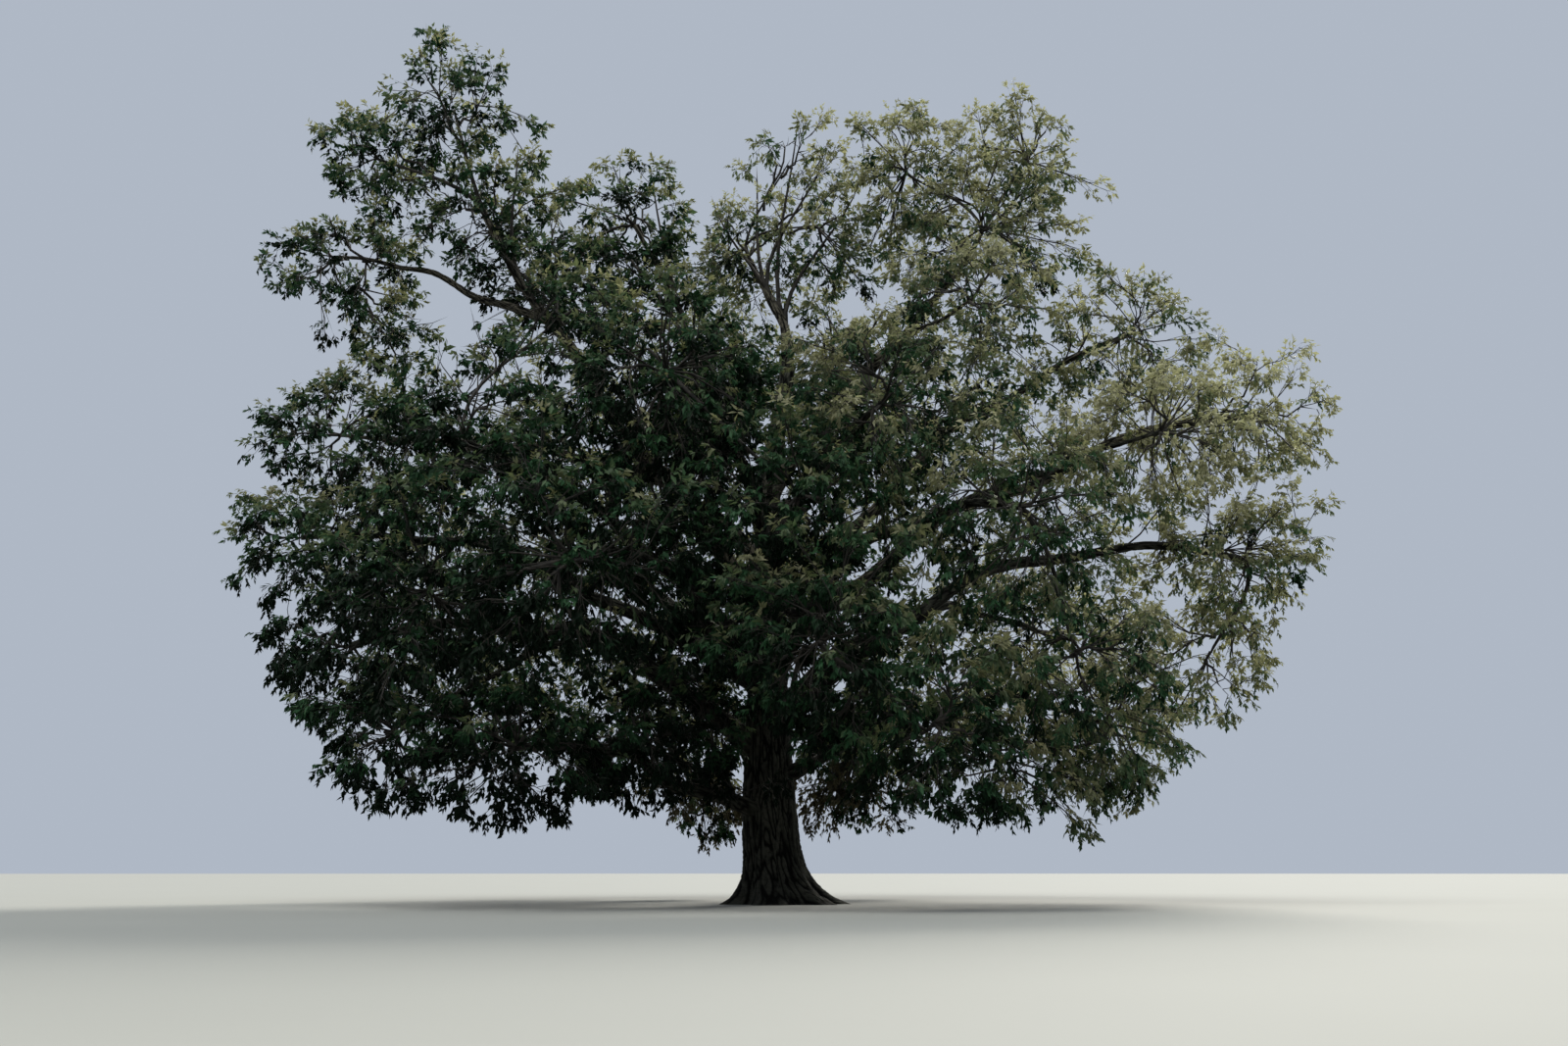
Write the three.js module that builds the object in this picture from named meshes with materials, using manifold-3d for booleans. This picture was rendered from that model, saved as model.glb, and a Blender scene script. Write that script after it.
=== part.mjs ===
// An old open-grown oak in full summer leaf, as a set of separate solids: the trunk with its root flare,
// the boughs that spring from it, and the masses of foliage that the boughs carry.
// Sizes are millimetres and angles are degrees. +Z is up and the origin is the middle of the trunk's flat
// cut at ground level. The front of the tree faces -Y, with +X to the right.

import * as THREE from 'three';
import { mergeVertices } from 'three/addons/utils/BufferGeometryUtils.js';
import Module from 'manifold-3d';

const wasm = await Module();
wasm.setup();

// The trunk: its height to the fork, its radius above the flare and at the fork, and its taper.
const TRUNK_HEIGHT = 14700;
const TRUNK_RADIUS = 710;
const FORK_RADIUS = 165;
const TAPER_STARTS = 0.15;
const TAPER_POWER = 0.8;
const TRUNK_SIDES = 22;
const TRUNK_RINGS = 12;
const RINGS_CROWD = 2.6;

// The root flare at the trunk's foot, and the buttress roots round it.
const FLARE_REACH = 760;
const FLARE_FALLS_IN = 420;
const ROOTS = 7;
const ROOT_DEPTH = 0.34;

// The trunk's lean to the left above the flare, and its return at the fork.
const LEAN = 420;
const LEAN_WITHIN = 1000;
const RETURN = 520;
const RETURN_STARTS = 0.72;
const BOW_BACK = 110;

// The limbs: how far their ends stay straight, how much they taper to the middle of their mass, the collar
// where they leave, and their sway from side to side and up and down.
const STRAIGHT_OUT = 0.42;
const STRAIGHT_IN = 0.36;
const LIMB_TAPER = 0.68;
const COLLAR = 0.3;
const COLLAR_SHARE = 0.06;
const SWAY = 0.028;
const SWAY_TURNS = 1.6;
const RISE = 0.017;
const RISE_TURNS = 2.3;
const ENTERS_MASS = 0.9;
const LIMB_SIDES = 5;
const LIMB_RINGS = 4;

// The foliage: how far a core fills its lobe, the skin that one twig serves, and the fan of leaf blades on
// a twig: one at its tip and the others to either side. One blade stands for a spray of real leaves.
const CORE_SHARE = 0.43;
const CORE_LUMPS = 0.32;
const TWIG_AREA = 24e6;
const OPEN_TWIG_AREA = 14e6;
const FEWEST_TWIGS = 4;
const TWIG_RADIUS = 60;
const TWIG_SHARE = 0.62;
const FIRST_TWIG = 0.4;
const LEAST_REACH = 0.6;
const FAN = [{ along: 0.95, off: 0 }, { along: 0.82, off: 58 }, { along: 0.7, off: -62 }];
const BLADE_LENGTH = 1950;
const BLADE_WIDTH = 0.52;
const BLADE_THICKNESS = 0.06;
const BLADE_SPACING = 1050;
const SHORTER = 0.86;
const DROOP = 0.3;
const TRIES = 5;

// A mass's own space: how far past its lobes' skin it may reach, and the gap between two masses there.
const SPACE_REACH = 1.08;
const SPACE_MARGIN = 0.035;

// What a cut solid is clear of its neighbour by, and the samples that stand for a limb when leaves avoid it.
const CLEARANCE = 0.3;
const GROWN_BY = CLEARANCE * 1.3;
const LIMB_SAMPLES = 60;

const GOLDEN_ANGLE = Math.PI * (3 - Math.sqrt(5));
const GOLDEN_SHARE = 0.618;
const UP = new THREE.Vector3(0, 0, 1);
const ROD_AXIS = new THREE.Vector3(0, 1, 0);

const bark = new THREE.MeshStandardMaterial({ color: 0x2f2a25, roughness: 0.95, metalness: 0 });
const foliage = new THREE.MeshStandardMaterial({ color: 0x2c3d2b, roughness: 0.75, metalness: 0 });

// One rounded lobe of a mass: its middle and its half sizes. A bare lobe has dead twigs and no leaves.
function lobe(x, y, z, wide, deep, tall, bare = false) {
  return { middle: new THREE.Vector3(x, y, z), half: new THREE.Vector3(wide, deep, tall), bare };
}

// Each row is a mass of foliage and the bough that carries it: the limb it springs from and how far along
// that limb, the bough's radius there, the angles at which it leaves and arrives, and the mass's lobes.
// The bough runs to the middle of the first lobe. An open mass has no core, so that sky shows through it.
const CROWN = [
  { name: 'left_crest', from: 'trunk', along: 0.47, radius: 250, leaves: 62, arrives: 66, open: true,
    lobes: [lobe(-8300, -1200, 18600, 2000, 2200, 2000), lobe(-9300, -1000, 21800, 2200, 2200, 2200),
      lobe(-11700, -400, 20500, 1800, 1900, 2100)] },
  { name: 'left_arm', from: 'left_crest', along: 0.72, radius: 120, leaves: 20, arrives: 5, open: true,
    lobes: [lobe(-12600, 0, 17600, 2200, 2200, 2000), lobe(-10900, 300, 15400, 1100, 1500, 1700)] },
  { name: 'left_shoulder', from: 'left_crest', along: 0.3, radius: 150, leaves: 20, arrives: 8,
    lobes: [lobe(-12400, 1000, 12700, 2700, 2700, 2000), lobe(-9200, 1500, 13900, 1900, 2400, 1600)] },
  { name: 'left_far', from: 'trunk', along: 0.37, radius: 230, leaves: 30, arrives: -8, open: true,
    lobes: [lobe(-12900, -200, 9500, 2300, 2700, 2100)] },
  { name: 'left_low', from: 'trunk', along: 0.235, radius: 290, leaves: 48, arrives: -22,
    lobes: [lobe(-11000, -1500, 6400, 2500, 2800, 2300)] },
  { name: 'left_skirt', from: 'left_low', along: 0.4, radius: 130, leaves: 2, arrives: -30,
    lobes: [lobe(-9100, -3900, 4000, 2200, 2300, 1900)] },
  { name: 'low_left_skirt', from: 'trunk', along: 0.155, radius: 210, leaves: 8, arrives: -12,
    lobes: [lobe(-6000, -5600, 3500, 2300, 2300, 1900), lobe(-3300, -4600, 3700, 1900, 2000, 1600)] },
  { name: 'front_left', from: 'trunk', along: 0.33, radius: 230, leaves: 38, arrives: -20,
    lobes: [lobe(-4400, -8700, 7200, 2700, 2600, 2600), lobe(-7900, -6400, 6900, 2500, 2600, 2300)] },
  { name: 'front_left_high', from: 'trunk', along: 0.42, radius: 200, leaves: 36, arrives: 14,
    lobes: [lobe(-7700, -4700, 10900, 2800, 2800, 2500), lobe(-5800, -3000, 14700, 2400, 2500, 2200)] },
  { name: 'front_skirt', from: 'trunk', along: 0.28, radius: 200, leaves: 44, arrives: -38,
    lobes: [lobe(700, -8900, 5400, 2100, 2300, 2300), lobe(3100, -8300, 3800, 2000, 2100, 2000)] },
  { name: 'front_centre', from: 'trunk', along: 0.62, radius: 190, leaves: 45, arrives: 5,
    lobes: [lobe(-2700, -6700, 12000, 2800, 2700, 2700), lobe(300, -8000, 8700, 2000, 2200, 1900)] },
  { name: 'front_right_high', from: 'trunk', along: 0.57, radius: 190, leaves: 40, arrives: 0,
    lobes: [lobe(2200, -7000, 11100, 2600, 2600, 2700)] },
  { name: 'front_right', from: 'trunk', along: 0.4, radius: 230, leaves: 40, arrives: -18,
    lobes: [lobe(5100, -7900, 8500, 2600, 2500, 2500), lobe(6500, -6200, 5600, 2400, 2400, 2200)] },
  { name: 'mid_left_crest', from: 'trunk', along: 0.67, radius: 170, leaves: 66, arrives: 60,
    lobes: [lobe(-4300, 800, 18900, 2000, 2200, 2300), lobe(-6700, 1800, 17900, 1700, 2100, 2200)] },
  { name: 'centre_crest', from: 'trunk', along: 1, radius: 150, leaves: 90, arrives: 80, open: true,
    lobes: [lobe(-1100, 800, 18300, 1700, 2000, 2000), lobe(1100, 200, 18700, 1300, 1600, 2300),
      lobe(200, 200, 20700, 900, 1000, 1500, true)] },
  { name: 'right_crest', from: 'trunk', along: 0.72, radius: 200, leaves: 62, arrives: 62,
    lobes: [lobe(5500, -600, 18100, 2500, 2400, 2400), lobe(3500, 300, 20300, 1900, 2100, 2300),
      lobe(6700, -600, 20200, 1700, 2000, 1900)] },
  { name: 'right_upper_front', from: 'right_crest', along: 0.32, radius: 110, leaves: 28, arrives: 12,
    lobes: [lobe(4700, -3600, 14900, 2400, 2500, 2200)] },
  { name: 'right_shoulder', from: 'trunk', along: 0.5, radius: 210, leaves: 48, arrives: 22,
    lobes: [lobe(9700, 900, 15600, 2400, 2600, 2000)] },
  { name: 'right_far', from: 'trunk', along: 0.43, radius: 230, leaves: 40, arrives: 6, open: true,
    lobes: [lobe(13000, 0, 13000, 2400, 2600, 2200)] },
  { name: 'right_mid', from: 'right_far', along: 0.42, radius: 130, leaves: 12, arrives: 5,
    lobes: [lobe(9400, -3400, 11500, 2500, 2700, 2100)] },
  { name: 'right_low', from: 'trunk', along: 0.29, radius: 250, leaves: 46, arrives: -14, open: true,
    lobes: [lobe(12300, -200, 8900, 2300, 2700, 2200), lobe(11300, 500, 6300, 2300, 2500, 1900)] },
  { name: 'right_skirt', from: 'trunk', along: 0.2, radius: 210, leaves: 30, arrives: -26,
    lobes: [lobe(7900, -2600, 4300, 2000, 2500, 2200), lobe(5000, -4500, 3300, 2200, 2200, 1700)] },
  { name: 'back_left_high', from: 'trunk', along: 0.58, radius: 180, leaves: 52, arrives: 30,
    lobes: [lobe(-6900, 5900, 13900, 2900, 2900, 2500), lobe(-2300, 5200, 16600, 2600, 2500, 2300)] },
  { name: 'back_left', from: 'trunk', along: 0.41, radius: 220, leaves: 34, arrives: -6,
    lobes: [lobe(-9600, 6300, 9500, 3000, 3000, 2600), lobe(-9400, 4700, 5700, 2700, 2700, 2100)] },
  { name: 'back_left_skirt', from: 'back_left', along: 0.28, radius: 120, leaves: 0, arrives: -24,
    lobes: [lobe(-5200, 9000, 5000, 2800, 2600, 2400), lobe(-2300, 7600, 2700, 1300, 1600, 1100)] },
  { name: 'back_centre', from: 'trunk', along: 0.45, radius: 220, leaves: 42, arrives: 0,
    lobes: [lobe(-1200, 10800, 9800, 3200, 2700, 3000), lobe(-3200, 8600, 13000, 2500, 2400, 2200)] },
  { name: 'back_right_high', from: 'trunk', along: 0.64, radius: 180, leaves: 50, arrives: 20,
    lobes: [lobe(4300, 6700, 14700, 3000, 2900, 2600), lobe(8100, 5600, 12200, 2600, 2700, 2200)] },
  { name: 'back_right', from: 'trunk', along: 0.31, radius: 220, leaves: 42, arrives: -10,
    lobes: [lobe(8000, 8000, 8300, 3000, 2900, 2500), lobe(10200, 4600, 6000, 2100, 2500, 2000)] },
  { name: 'back_right_skirt', from: 'back_right', along: 0.3, radius: 120, leaves: 0, arrives: -22,
    lobes: [lobe(3900, 10000, 5200, 2700, 2500, 2400), lobe(2900, 7700, 3100, 1700, 1800, 1200)] },
];

// Random numbers from 0 to 1 that are the same on every run.
function seeded(seed) {
  let state = (seed * 7919 + 104729) % 2147483647;
  return () => {
    state = (state * 48271) % 2147483647;
    return state / 2147483647;
  };
}

// A vector whose three parts are each between -0.5 and 0.5.
function anyWay(random) {
  return new THREE.Vector3(random() - 0.5, random() - 0.5, random() - 0.5);
}

// A closed three.js geometry as a manifold solid.
function solidOf(geometry) {
  const bare = geometry.clone();
  bare.deleteAttribute('normal');
  bare.deleteAttribute('uv');
  const merged = mergeVertices(bare, 1e-3);
  return new wasm.Manifold(new wasm.Mesh({
    numProp: 3,
    vertProperties: merged.attributes.position.array,
    triVerts: new Uint32Array(merged.index.array),
  }));
}

// The largest piece of a solid: the scraps that a cut leaves loose are dropped.
function largest(solid) {
  return solid.decompose().reduce((a, b) => (b.volume() > a.volume() ? b : a));
}

function meshOf(name, solid, material) {
  const mesh = solid.getMesh();
  const geometry = new THREE.BufferGeometry();
  geometry.setAttribute('position', new THREE.BufferAttribute(mesh.vertProperties, 3));
  geometry.setIndex(new THREE.BufferAttribute(mesh.triVerts, 1));
  geometry.computeVertexNormals();
  const made = new THREE.Mesh(geometry, material);
  made.name = name;
  return made;
}

// The trunk's centreline from the ground to the fork.
class TrunkCurve extends THREE.Curve {
  getPoint(t, target = new THREE.Vector3()) {
    const height = t * TRUNK_HEIGHT;
    const left = LEAN * (1 - Math.exp(-height / LEAN_WITHIN));
    const back = RETURN * THREE.MathUtils.smoothstep(t, RETURN_STARTS, 1);
    return target.set(back - left, BOW_BACK * Math.sin(Math.PI * t), height);
  }
}

// The centreline of a limb: a cubic from its root to its end, which leaves and arrives at given angles to
// the ground, with a seeded sway that dies away at both ends.
class LimbCurve extends THREE.Curve {
  constructor(root, end, leaves, arrives, seed) {
    super();
    const span = end.clone().sub(root);
    const reach = span.length();
    const level = new THREE.Vector3(span.x, span.y, 0).normalize();
    const heading = (angle, length) => level.clone().multiplyScalar(Math.cos(THREE.MathUtils.degToRad(angle)))
      .addScaledVector(UP, Math.sin(THREE.MathUtils.degToRad(angle))).multiplyScalar(length);
    const out = root.clone().add(heading(leaves, reach * STRAIGHT_OUT));
    const back = end.clone().sub(heading(arrives, reach * STRAIGHT_IN));
    this.cubic = new THREE.CubicBezierCurve3(root, out, back, end);
    this.across = new THREE.Vector3().crossVectors(level, UP);
    this.reach = reach;
    const random = seeded(seed);
    this.swayPhase = random() * 2 * Math.PI;
    this.risePhase = random() * 2 * Math.PI;
  }

  getPoint(t, target = new THREE.Vector3()) {
    const fade = this.reach * Math.sin(Math.PI * t) ** 2;
    return this.cubic.getPoint(t, target)
      .addScaledVector(this.across, fade * SWAY * Math.sin(2 * Math.PI * SWAY_TURNS * t + this.swayPhase))
      .addScaledVector(UP, fade * RISE * Math.sin(2 * Math.PI * RISE_TURNS * t + this.risePhase));
  }
}

// A round bar that follows a curve from t0 to t1: a cylinder whose rings are set square to the curve, each
// at the radius that radiusAt(t) gives.
function barAlong(curve, t0, t1, rings, sides, radiusAt) {
  const geometry = new THREE.CylinderGeometry(1, 1, 1, sides, rings);
  const place = geometry.attributes.position;
  const firstSide = ROD_AXIS.clone().cross(curve.getTangent(t0)).normalize();
  for (let i = 0; i < place.count; i++) {
    const t = t0 + (t1 - t0) * (0.5 + place.getY(i));
    const tangent = curve.getTangent(t);
    const side = firstSide.clone().addScaledVector(tangent, -firstSide.dot(tangent)).normalize();
    const other = new THREE.Vector3().crossVectors(tangent, side);
    const radius = radiusAt(t);
    const point = curve.getPoint(t).addScaledVector(side, radius * place.getZ(i))
      .addScaledVector(other, radius * place.getX(i));
    place.setXYZ(i, point.x, point.y, point.z);
  }
  return solidOf(geometry);
}

// Turns and moves a geometry that stands on the y axis so that it runs from a to b.
function runFrom(geometry, a, b) {
  const turn = new THREE.Quaternion().setFromUnitVectors(ROD_AXIS, b.clone().sub(a).normalize());
  return geometry.applyQuaternion(turn).translate((a.x + b.x) / 2, (a.y + b.y) / 2, (a.z + b.z) / 2);
}

// A straight tapering rod between two points.
function rod(a, b, radiusA, radiusB) {
  return solidOf(runFrom(new THREE.CylinderGeometry(radiusB, radiusA, a.distanceTo(b), 4, 1), a, b));
}

// A twig: a slim three-sided spike from its root to its tip.
function spike(root, tip) {
  return solidOf(runFrom(new THREE.ConeGeometry(TWIG_RADIUS, root.distanceTo(tip), 3, 1), root, tip));
}

// The trunk's radius at a share of its height, and how much further a buttress root reaches at an angle.
function trunkRadius(t) {
  const shrink = (Math.max(0, t - TAPER_STARTS) / (1 - TAPER_STARTS)) ** TAPER_POWER;
  return TRUNK_RADIUS + (FORK_RADIUS - TRUNK_RADIUS) * shrink;
}

function flareReach(t, angle) {
  const root = 1 + ROOT_DEPTH * Math.cos(ROOTS * angle + Math.sin(angle * 2));
  return FLARE_REACH * root * Math.exp((-t * TRUNK_HEIGHT) / FLARE_FALLS_IN);
}

// The trunk as a solid, grown all round by the given amount. Its rings crowd towards the flare, and its
// foot is cut flat at ground level.
function trunkSolid(curve, grown) {
  const geometry = new THREE.CylinderGeometry(1, 1, 1, TRUNK_SIDES, TRUNK_RINGS);
  const place = geometry.attributes.position;
  for (let i = 0; i < place.count; i++) {
    const t = (0.5 + place.getY(i)) ** RINGS_CROWD;
    const radius = trunkRadius(t) + flareReach(t, Math.atan2(place.getZ(i), place.getX(i))) + grown;
    const middle = curve.getPoint(t);
    place.setXYZ(i, middle.x + radius * place.getX(i), middle.y - radius * place.getZ(i), middle.z);
  }
  return solidOf(geometry);
}

// How far a point lies from the middle of a lobe, where 1 is the lobe's skin.
function depthIn(point, { middle, half }) {
  return point.clone().sub(middle).divide(half).length();
}

function leastDepth(point, lobes) {
  return Math.min(...lobes.map((one) => depthIn(point, one)));
}

// True where a point lies in a mass's own space: in reach of its lobes, and nearer to them than to any
// other mass.
function inSpace(point, { lobes, neighbours }) {
  const depth = leastDepth(point, lobes);
  return depth < SPACE_REACH && neighbours.every((other) => depth + SPACE_MARGIN < depthIn(point, other));
}

// The trunk and the boughs, each with its centreline, its solid, the same solid grown by the clearance, and
// a row of samples.
function growLimbs() {
  const curve = new TrunkCurve();
  const [solid, grown] = [0, GROWN_BY].map((more) => trunkSolid(curve, more));
  const limbs = new Map([['trunk', { curve, tip: 1, radiusAt: trunkRadius, solid, grown }]]);
  CROWN.forEach((mass, i) => limbs.set(mass.name, growBough(mass, limbs.get(mass.from), i + 1)));
  for (const limb of limbs.values()) {
    limb.samples = Array.from({ length: LIMB_SAMPLES }, (_, i) => {
      const t = (limb.tip * i) / (LIMB_SAMPLES - 1);
      return { at: limb.curve.getPoint(t), thick: limb.radiusAt(t) };
    });
  }
  return limbs;
}

// A bough is cut clear of the limb that it springs from, and ends where it enters its mass.
function growBough(mass, parent, seed) {
  const onTip = mass.along === 1;
  const root = parent.curve.getPoint(mass.along).addScaledVector(UP, onTip ? CLEARANCE : 0);
  const curve = new LimbCurve(root, mass.lobes[0].middle, mass.leaves, mass.arrives, seed);
  let tip = 0.3;
  while (leastDepth(curve.getPoint(tip), mass.lobes) > ENTERS_MASS) tip += 0.01;
  const radiusAt = (t) => mass.radius * (1 - LIMB_TAPER * t) * (1 + COLLAR * Math.exp(-t / COLLAR_SHARE));
  const bar = (grown) => barAlong(curve, 0, tip, LIMB_RINGS, LIMB_SIDES, (t) => radiusAt(t) + grown);
  const solid = onTip ? bar(0) : largest(bar(0).subtract(parent.grown));
  return { curve, tip, radiusAt, solid, grown: bar(GROWN_BY) };
}

// True where a straight rod from a to b, as thick as radius, comes against a limb. The mass's own bough
// doesn't count, because the twigs spring from its end.
function touchesLimb(a, b, radius, limbs, own) {
  const line = new THREE.Line3(a, b);
  const point = new THREE.Vector3();
  return [...limbs].some(([name, limb]) => name !== own && limb.samples.some(({ at, thick }) =>
    line.closestPointToPoint(at, true, point).distanceTo(at) < thick + radius));
}

// A leaf blade: a slim lozenge of eight faces from its root to its tip, broad across the way it points.
function blade(root, tip, broad) {
  const length = root.distanceTo(tip);
  const along = tip.clone().sub(root).normalize();
  const across = broad.clone().addScaledVector(along, -broad.dot(along)).normalize();
  const thick = new THREE.Vector3().crossVectors(along, across);
  const basis = new THREE.Matrix4().makeBasis(along.multiplyScalar(length),
    across.multiplyScalar(length * BLADE_WIDTH), thick.multiplyScalar(length * BLADE_THICKNESS));
  return new THREE.OctahedronGeometry(0.5, 0).applyMatrix4(basis.setPosition(root.clone().lerp(tip, 0.5)));
}

// The lumpy core of a dense lobe. Each of its points stays well inside the mass's own space.
function core(one, mass, random) {
  const geometry = new THREE.SphereGeometry(1, 6, 4).rotateX(Math.PI / 2);
  geometry.deleteAttribute('normal');
  geometry.deleteAttribute('uv');
  const merged = mergeVertices(geometry, 1e-4);
  const place = merged.attributes.position;
  for (let i = 0; i < place.count; i++) {
    const out = new THREE.Vector3().fromBufferAttribute(place, i).multiply(one.half);
    const at = (share) => one.middle.clone().addScaledVector(out, share);
    let share = CORE_SHARE * (1 - CORE_LUMPS + 2 * CORE_LUMPS * random());
    while (share > 0.1 && !inSpace(at(share + 0.05), mass)) share -= 0.02;
    place.setXYZ(i, at(share).x, at(share).y, at(share).z);
  }
  return solidOf(merged);
}

// The twigs of a lobe: spread evenly over it by the golden angle, each from its stem out towards the skin
// as far as its mass's own space allows. They spring from along the stem of an open lobe, and from within
// the core of a dense one. Across is the side that a twig's fan of blades opens to.
function twigsOf(one, entry, mass, random) {
  const skin = 4 * Math.PI * Math.cbrt(one.half.x * one.half.y * one.half.z) ** 2;
  const count = Math.max(FEWEST_TWIGS, Math.round(skin / (mass.open ? OPEN_TWIG_AREA : TWIG_AREA)));
  const turn = random() * 2 * Math.PI;
  return Array.from({ length: count }, (_, i) => {
    const height = 1 - (2 * (i + 0.5)) / count;
    const angle = turn + i * GOLDEN_ANGLE + (random() - 0.5) * 0.5;
    const out = new THREE.Vector3().setFromSphericalCoords(1, Math.PI / 2 - Math.asin(height), angle);
    const skinward = new THREE.Vector3(out.x, out.z, out.y).multiply(one.half);
    const share = mass.open ? FIRST_TWIG + (1 - FIRST_TWIG) * ((i * GOLDEN_SHARE) % 1) : 1;
    const root = entry.clone().lerp(one.middle, share);
    const at = (reach) => one.middle.clone().addScaledVector(skinward, reach);
    let reach = 1;
    while (reach > LEAST_REACH && !inSpace(at(reach), mass)) reach -= 0.05;
    const tip = at(reach * TWIG_SHARE);
    const way = tip.clone().sub(root).normalize();
    return { root, tip, way, across: anyWay(random).cross(way).normalize(), reach };
  }).filter((twig) => twig.reach > LEAST_REACH);
}

// One blade of a twig's fan, shorter at each try until it lies wholly in its mass's own space, apart from
// the blades before it and clear of every limb, or none where that fails.
function leafOn({ root, tip, way, across }, { along, off }, mass, limbs, taken, random) {
  for (let attempt = 0; attempt < TRIES; attempt++) {
    const turned = THREE.MathUtils.degToRad(off * (0.75 + 0.5 * random()));
    const heading = way.clone().multiplyScalar(Math.cos(turned)).addScaledVector(across, Math.sin(turned))
      .addScaledVector(UP, -DROOP * random()).normalize();
    const length = BLADE_LENGTH * (0.8 + 0.3 * random()) * SHORTER ** attempt;
    const from = root.clone().lerp(tip, along);
    const to = from.clone().addScaledVector(heading, length);
    const face = new THREE.Vector3().crossVectors(way, across).addScaledVector(across, random() - 0.5);
    const leaf = blade(from, to, face.cross(heading));
    const corners = leaf.attributes.position;
    const inside = Array.from({ length: corners.count }, (_, i) =>
      inSpace(new THREE.Vector3().fromBufferAttribute(corners, i), mass)).every((stays) => stays);
    const middle = from.clone().lerp(to, 0.55);
    const apart = taken.every((other) => other.distanceTo(middle) > BLADE_SPACING);
    if (inside && apart && !touchesLimb(from, to, length * BLADE_WIDTH * 0.6, limbs, mass.name)) {
      taken.push(middle);
      return solidOf(leaf);
    }
  }
  return null;
}

// A mass of foliage: the stem that goes on from its bough, a stem to each further lobe, the cores, the twigs
// and their blades, joined, and cut clear of every limb.
function massSolid(mass, limbs, seed) {
  const random = seeded(seed);
  const leafRandom = seeded(seed * 2);
  const { curve, tip, radiusAt } = limbs.get(mass.name);
  const start = tip + CLEARANCE / curve.getLength();
  const hub = mass.lobes[0].middle;
  const stem = radiusAt(1);
  const taken = [];
  const pieces = [barAlong(curve, start, 1, 1, LIMB_SIDES, radiusAt)];
  mass.lobes.forEach((one, k) => {
    if (k > 0) pieces.push(rod(hub, one.middle, stem * 0.8, stem * 0.5));
    if (!mass.open) pieces.push(core(one, mass, random));
    for (const twig of twigsOf(one, k === 0 ? curve.getPoint(start) : hub, mass, random)) {
      const stays = [0.25, 0.5, 0.75, 1].every((t) => inSpace(twig.root.clone().lerp(twig.tip, t), mass));
      if (!stays || touchesLimb(twig.root, twig.tip, TWIG_RADIUS * 2, limbs, mass.name)) continue;
      const fan = one.bare ? [] : FAN;
      const leaves = fan.map((place) => leafOn(twig, place, mass, limbs, taken, leafRandom)).filter(Boolean);
      if (one.bare || leaves.length) pieces.push(spike(twig.root, twig.tip), ...leaves);
    }
  });
  let whole = wasm.Manifold.union(pieces);
  for (const { grown } of limbs.values()) {
    if (!whole.intersect(grown).isEmpty()) whole = whole.subtract(grown);
  }
  return largest(whole);
}

for (const mass of CROWN) {
  mass.neighbours = CROWN.filter((other) => other !== mass).flatMap((other) => other.lobes);
}
const limbs = growLimbs();
const oak = new THREE.Group();
oak.name = 'oak_tree';
oak.add(meshOf('trunk', limbs.get('trunk').solid, bark));
CROWN.forEach((mass, i) => {
  oak.add(meshOf(`bough_${mass.name}`, limbs.get(mass.name).solid, bark));
  oak.add(meshOf(`leaves_${mass.name}`, massSolid(mass, limbs, i + 101), foliage));
});

export default oak;
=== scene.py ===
"""An old open-grown oak in full summer leaf, dressed round its solid model.

The trunk and the boughs get a bark with real ridges and furrows. Each mass of foliage grows on from its
bough by the solid model's rule, carried down to fine twigs and to sprays of single leaves.
Sizes are metres and angles degrees. The tree stands on the origin, with its front facing -Y.
"""

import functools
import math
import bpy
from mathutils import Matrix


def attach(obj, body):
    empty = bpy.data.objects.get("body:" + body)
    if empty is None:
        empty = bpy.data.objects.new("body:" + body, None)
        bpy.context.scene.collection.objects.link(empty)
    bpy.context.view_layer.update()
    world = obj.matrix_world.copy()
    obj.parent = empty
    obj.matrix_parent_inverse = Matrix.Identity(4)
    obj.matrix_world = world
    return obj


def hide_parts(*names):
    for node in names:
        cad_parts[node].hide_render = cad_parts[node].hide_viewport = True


bl_info = {
    "name": "Open-grown Oak",
    "version": (1, 0, 0),
    "blender": (4, 5, 0),
    "location": "View3D > Sidebar > Oak",
    "description": "Grows a broad oak with furrowed bark, fine twigs and sprays of leaves",
    "category": "Add Mesh",
}

import types

import bmesh
import bpy
import numpy as np
from mathutils import Vector, kdtree, noise

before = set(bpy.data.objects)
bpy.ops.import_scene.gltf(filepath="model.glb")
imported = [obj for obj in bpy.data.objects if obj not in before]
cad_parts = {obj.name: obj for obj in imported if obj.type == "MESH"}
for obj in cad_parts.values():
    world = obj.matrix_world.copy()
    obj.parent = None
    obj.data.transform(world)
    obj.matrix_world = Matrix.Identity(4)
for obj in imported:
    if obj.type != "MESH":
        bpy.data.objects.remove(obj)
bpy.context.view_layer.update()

# The trunk, as in the solid model: its height to the fork, its radii, its taper, flare and lean.
TRUNK_HEIGHT = 14.7
TRUNK_RADIUS = 0.71
FORK_RADIUS = 0.165
TAPER_STARTS = 0.15
TAPER_POWER = 0.8
FLARE_REACH = 0.76
FLARE_FALLS_IN = 0.42
ROOTS = 7
ROOT_DEPTH = 0.34
LEAN = 0.42
LEAN_WITHIN = 1.0
RETURN = 0.52
RETURN_STARTS = 0.72
BOW_BACK = 0.11

# The limbs, as in the solid model.
STRAIGHT_OUT = 0.42
STRAIGHT_IN = 0.36
LIMB_TAPER = 0.68
COLLAR = 0.3
COLLAR_SHARE = 0.06
SWAY = 0.028
SWAY_TURNS = 1.6
RISE = 0.017
RISE_TURNS = 2.3
ENTERS_MASS = 0.9

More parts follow.
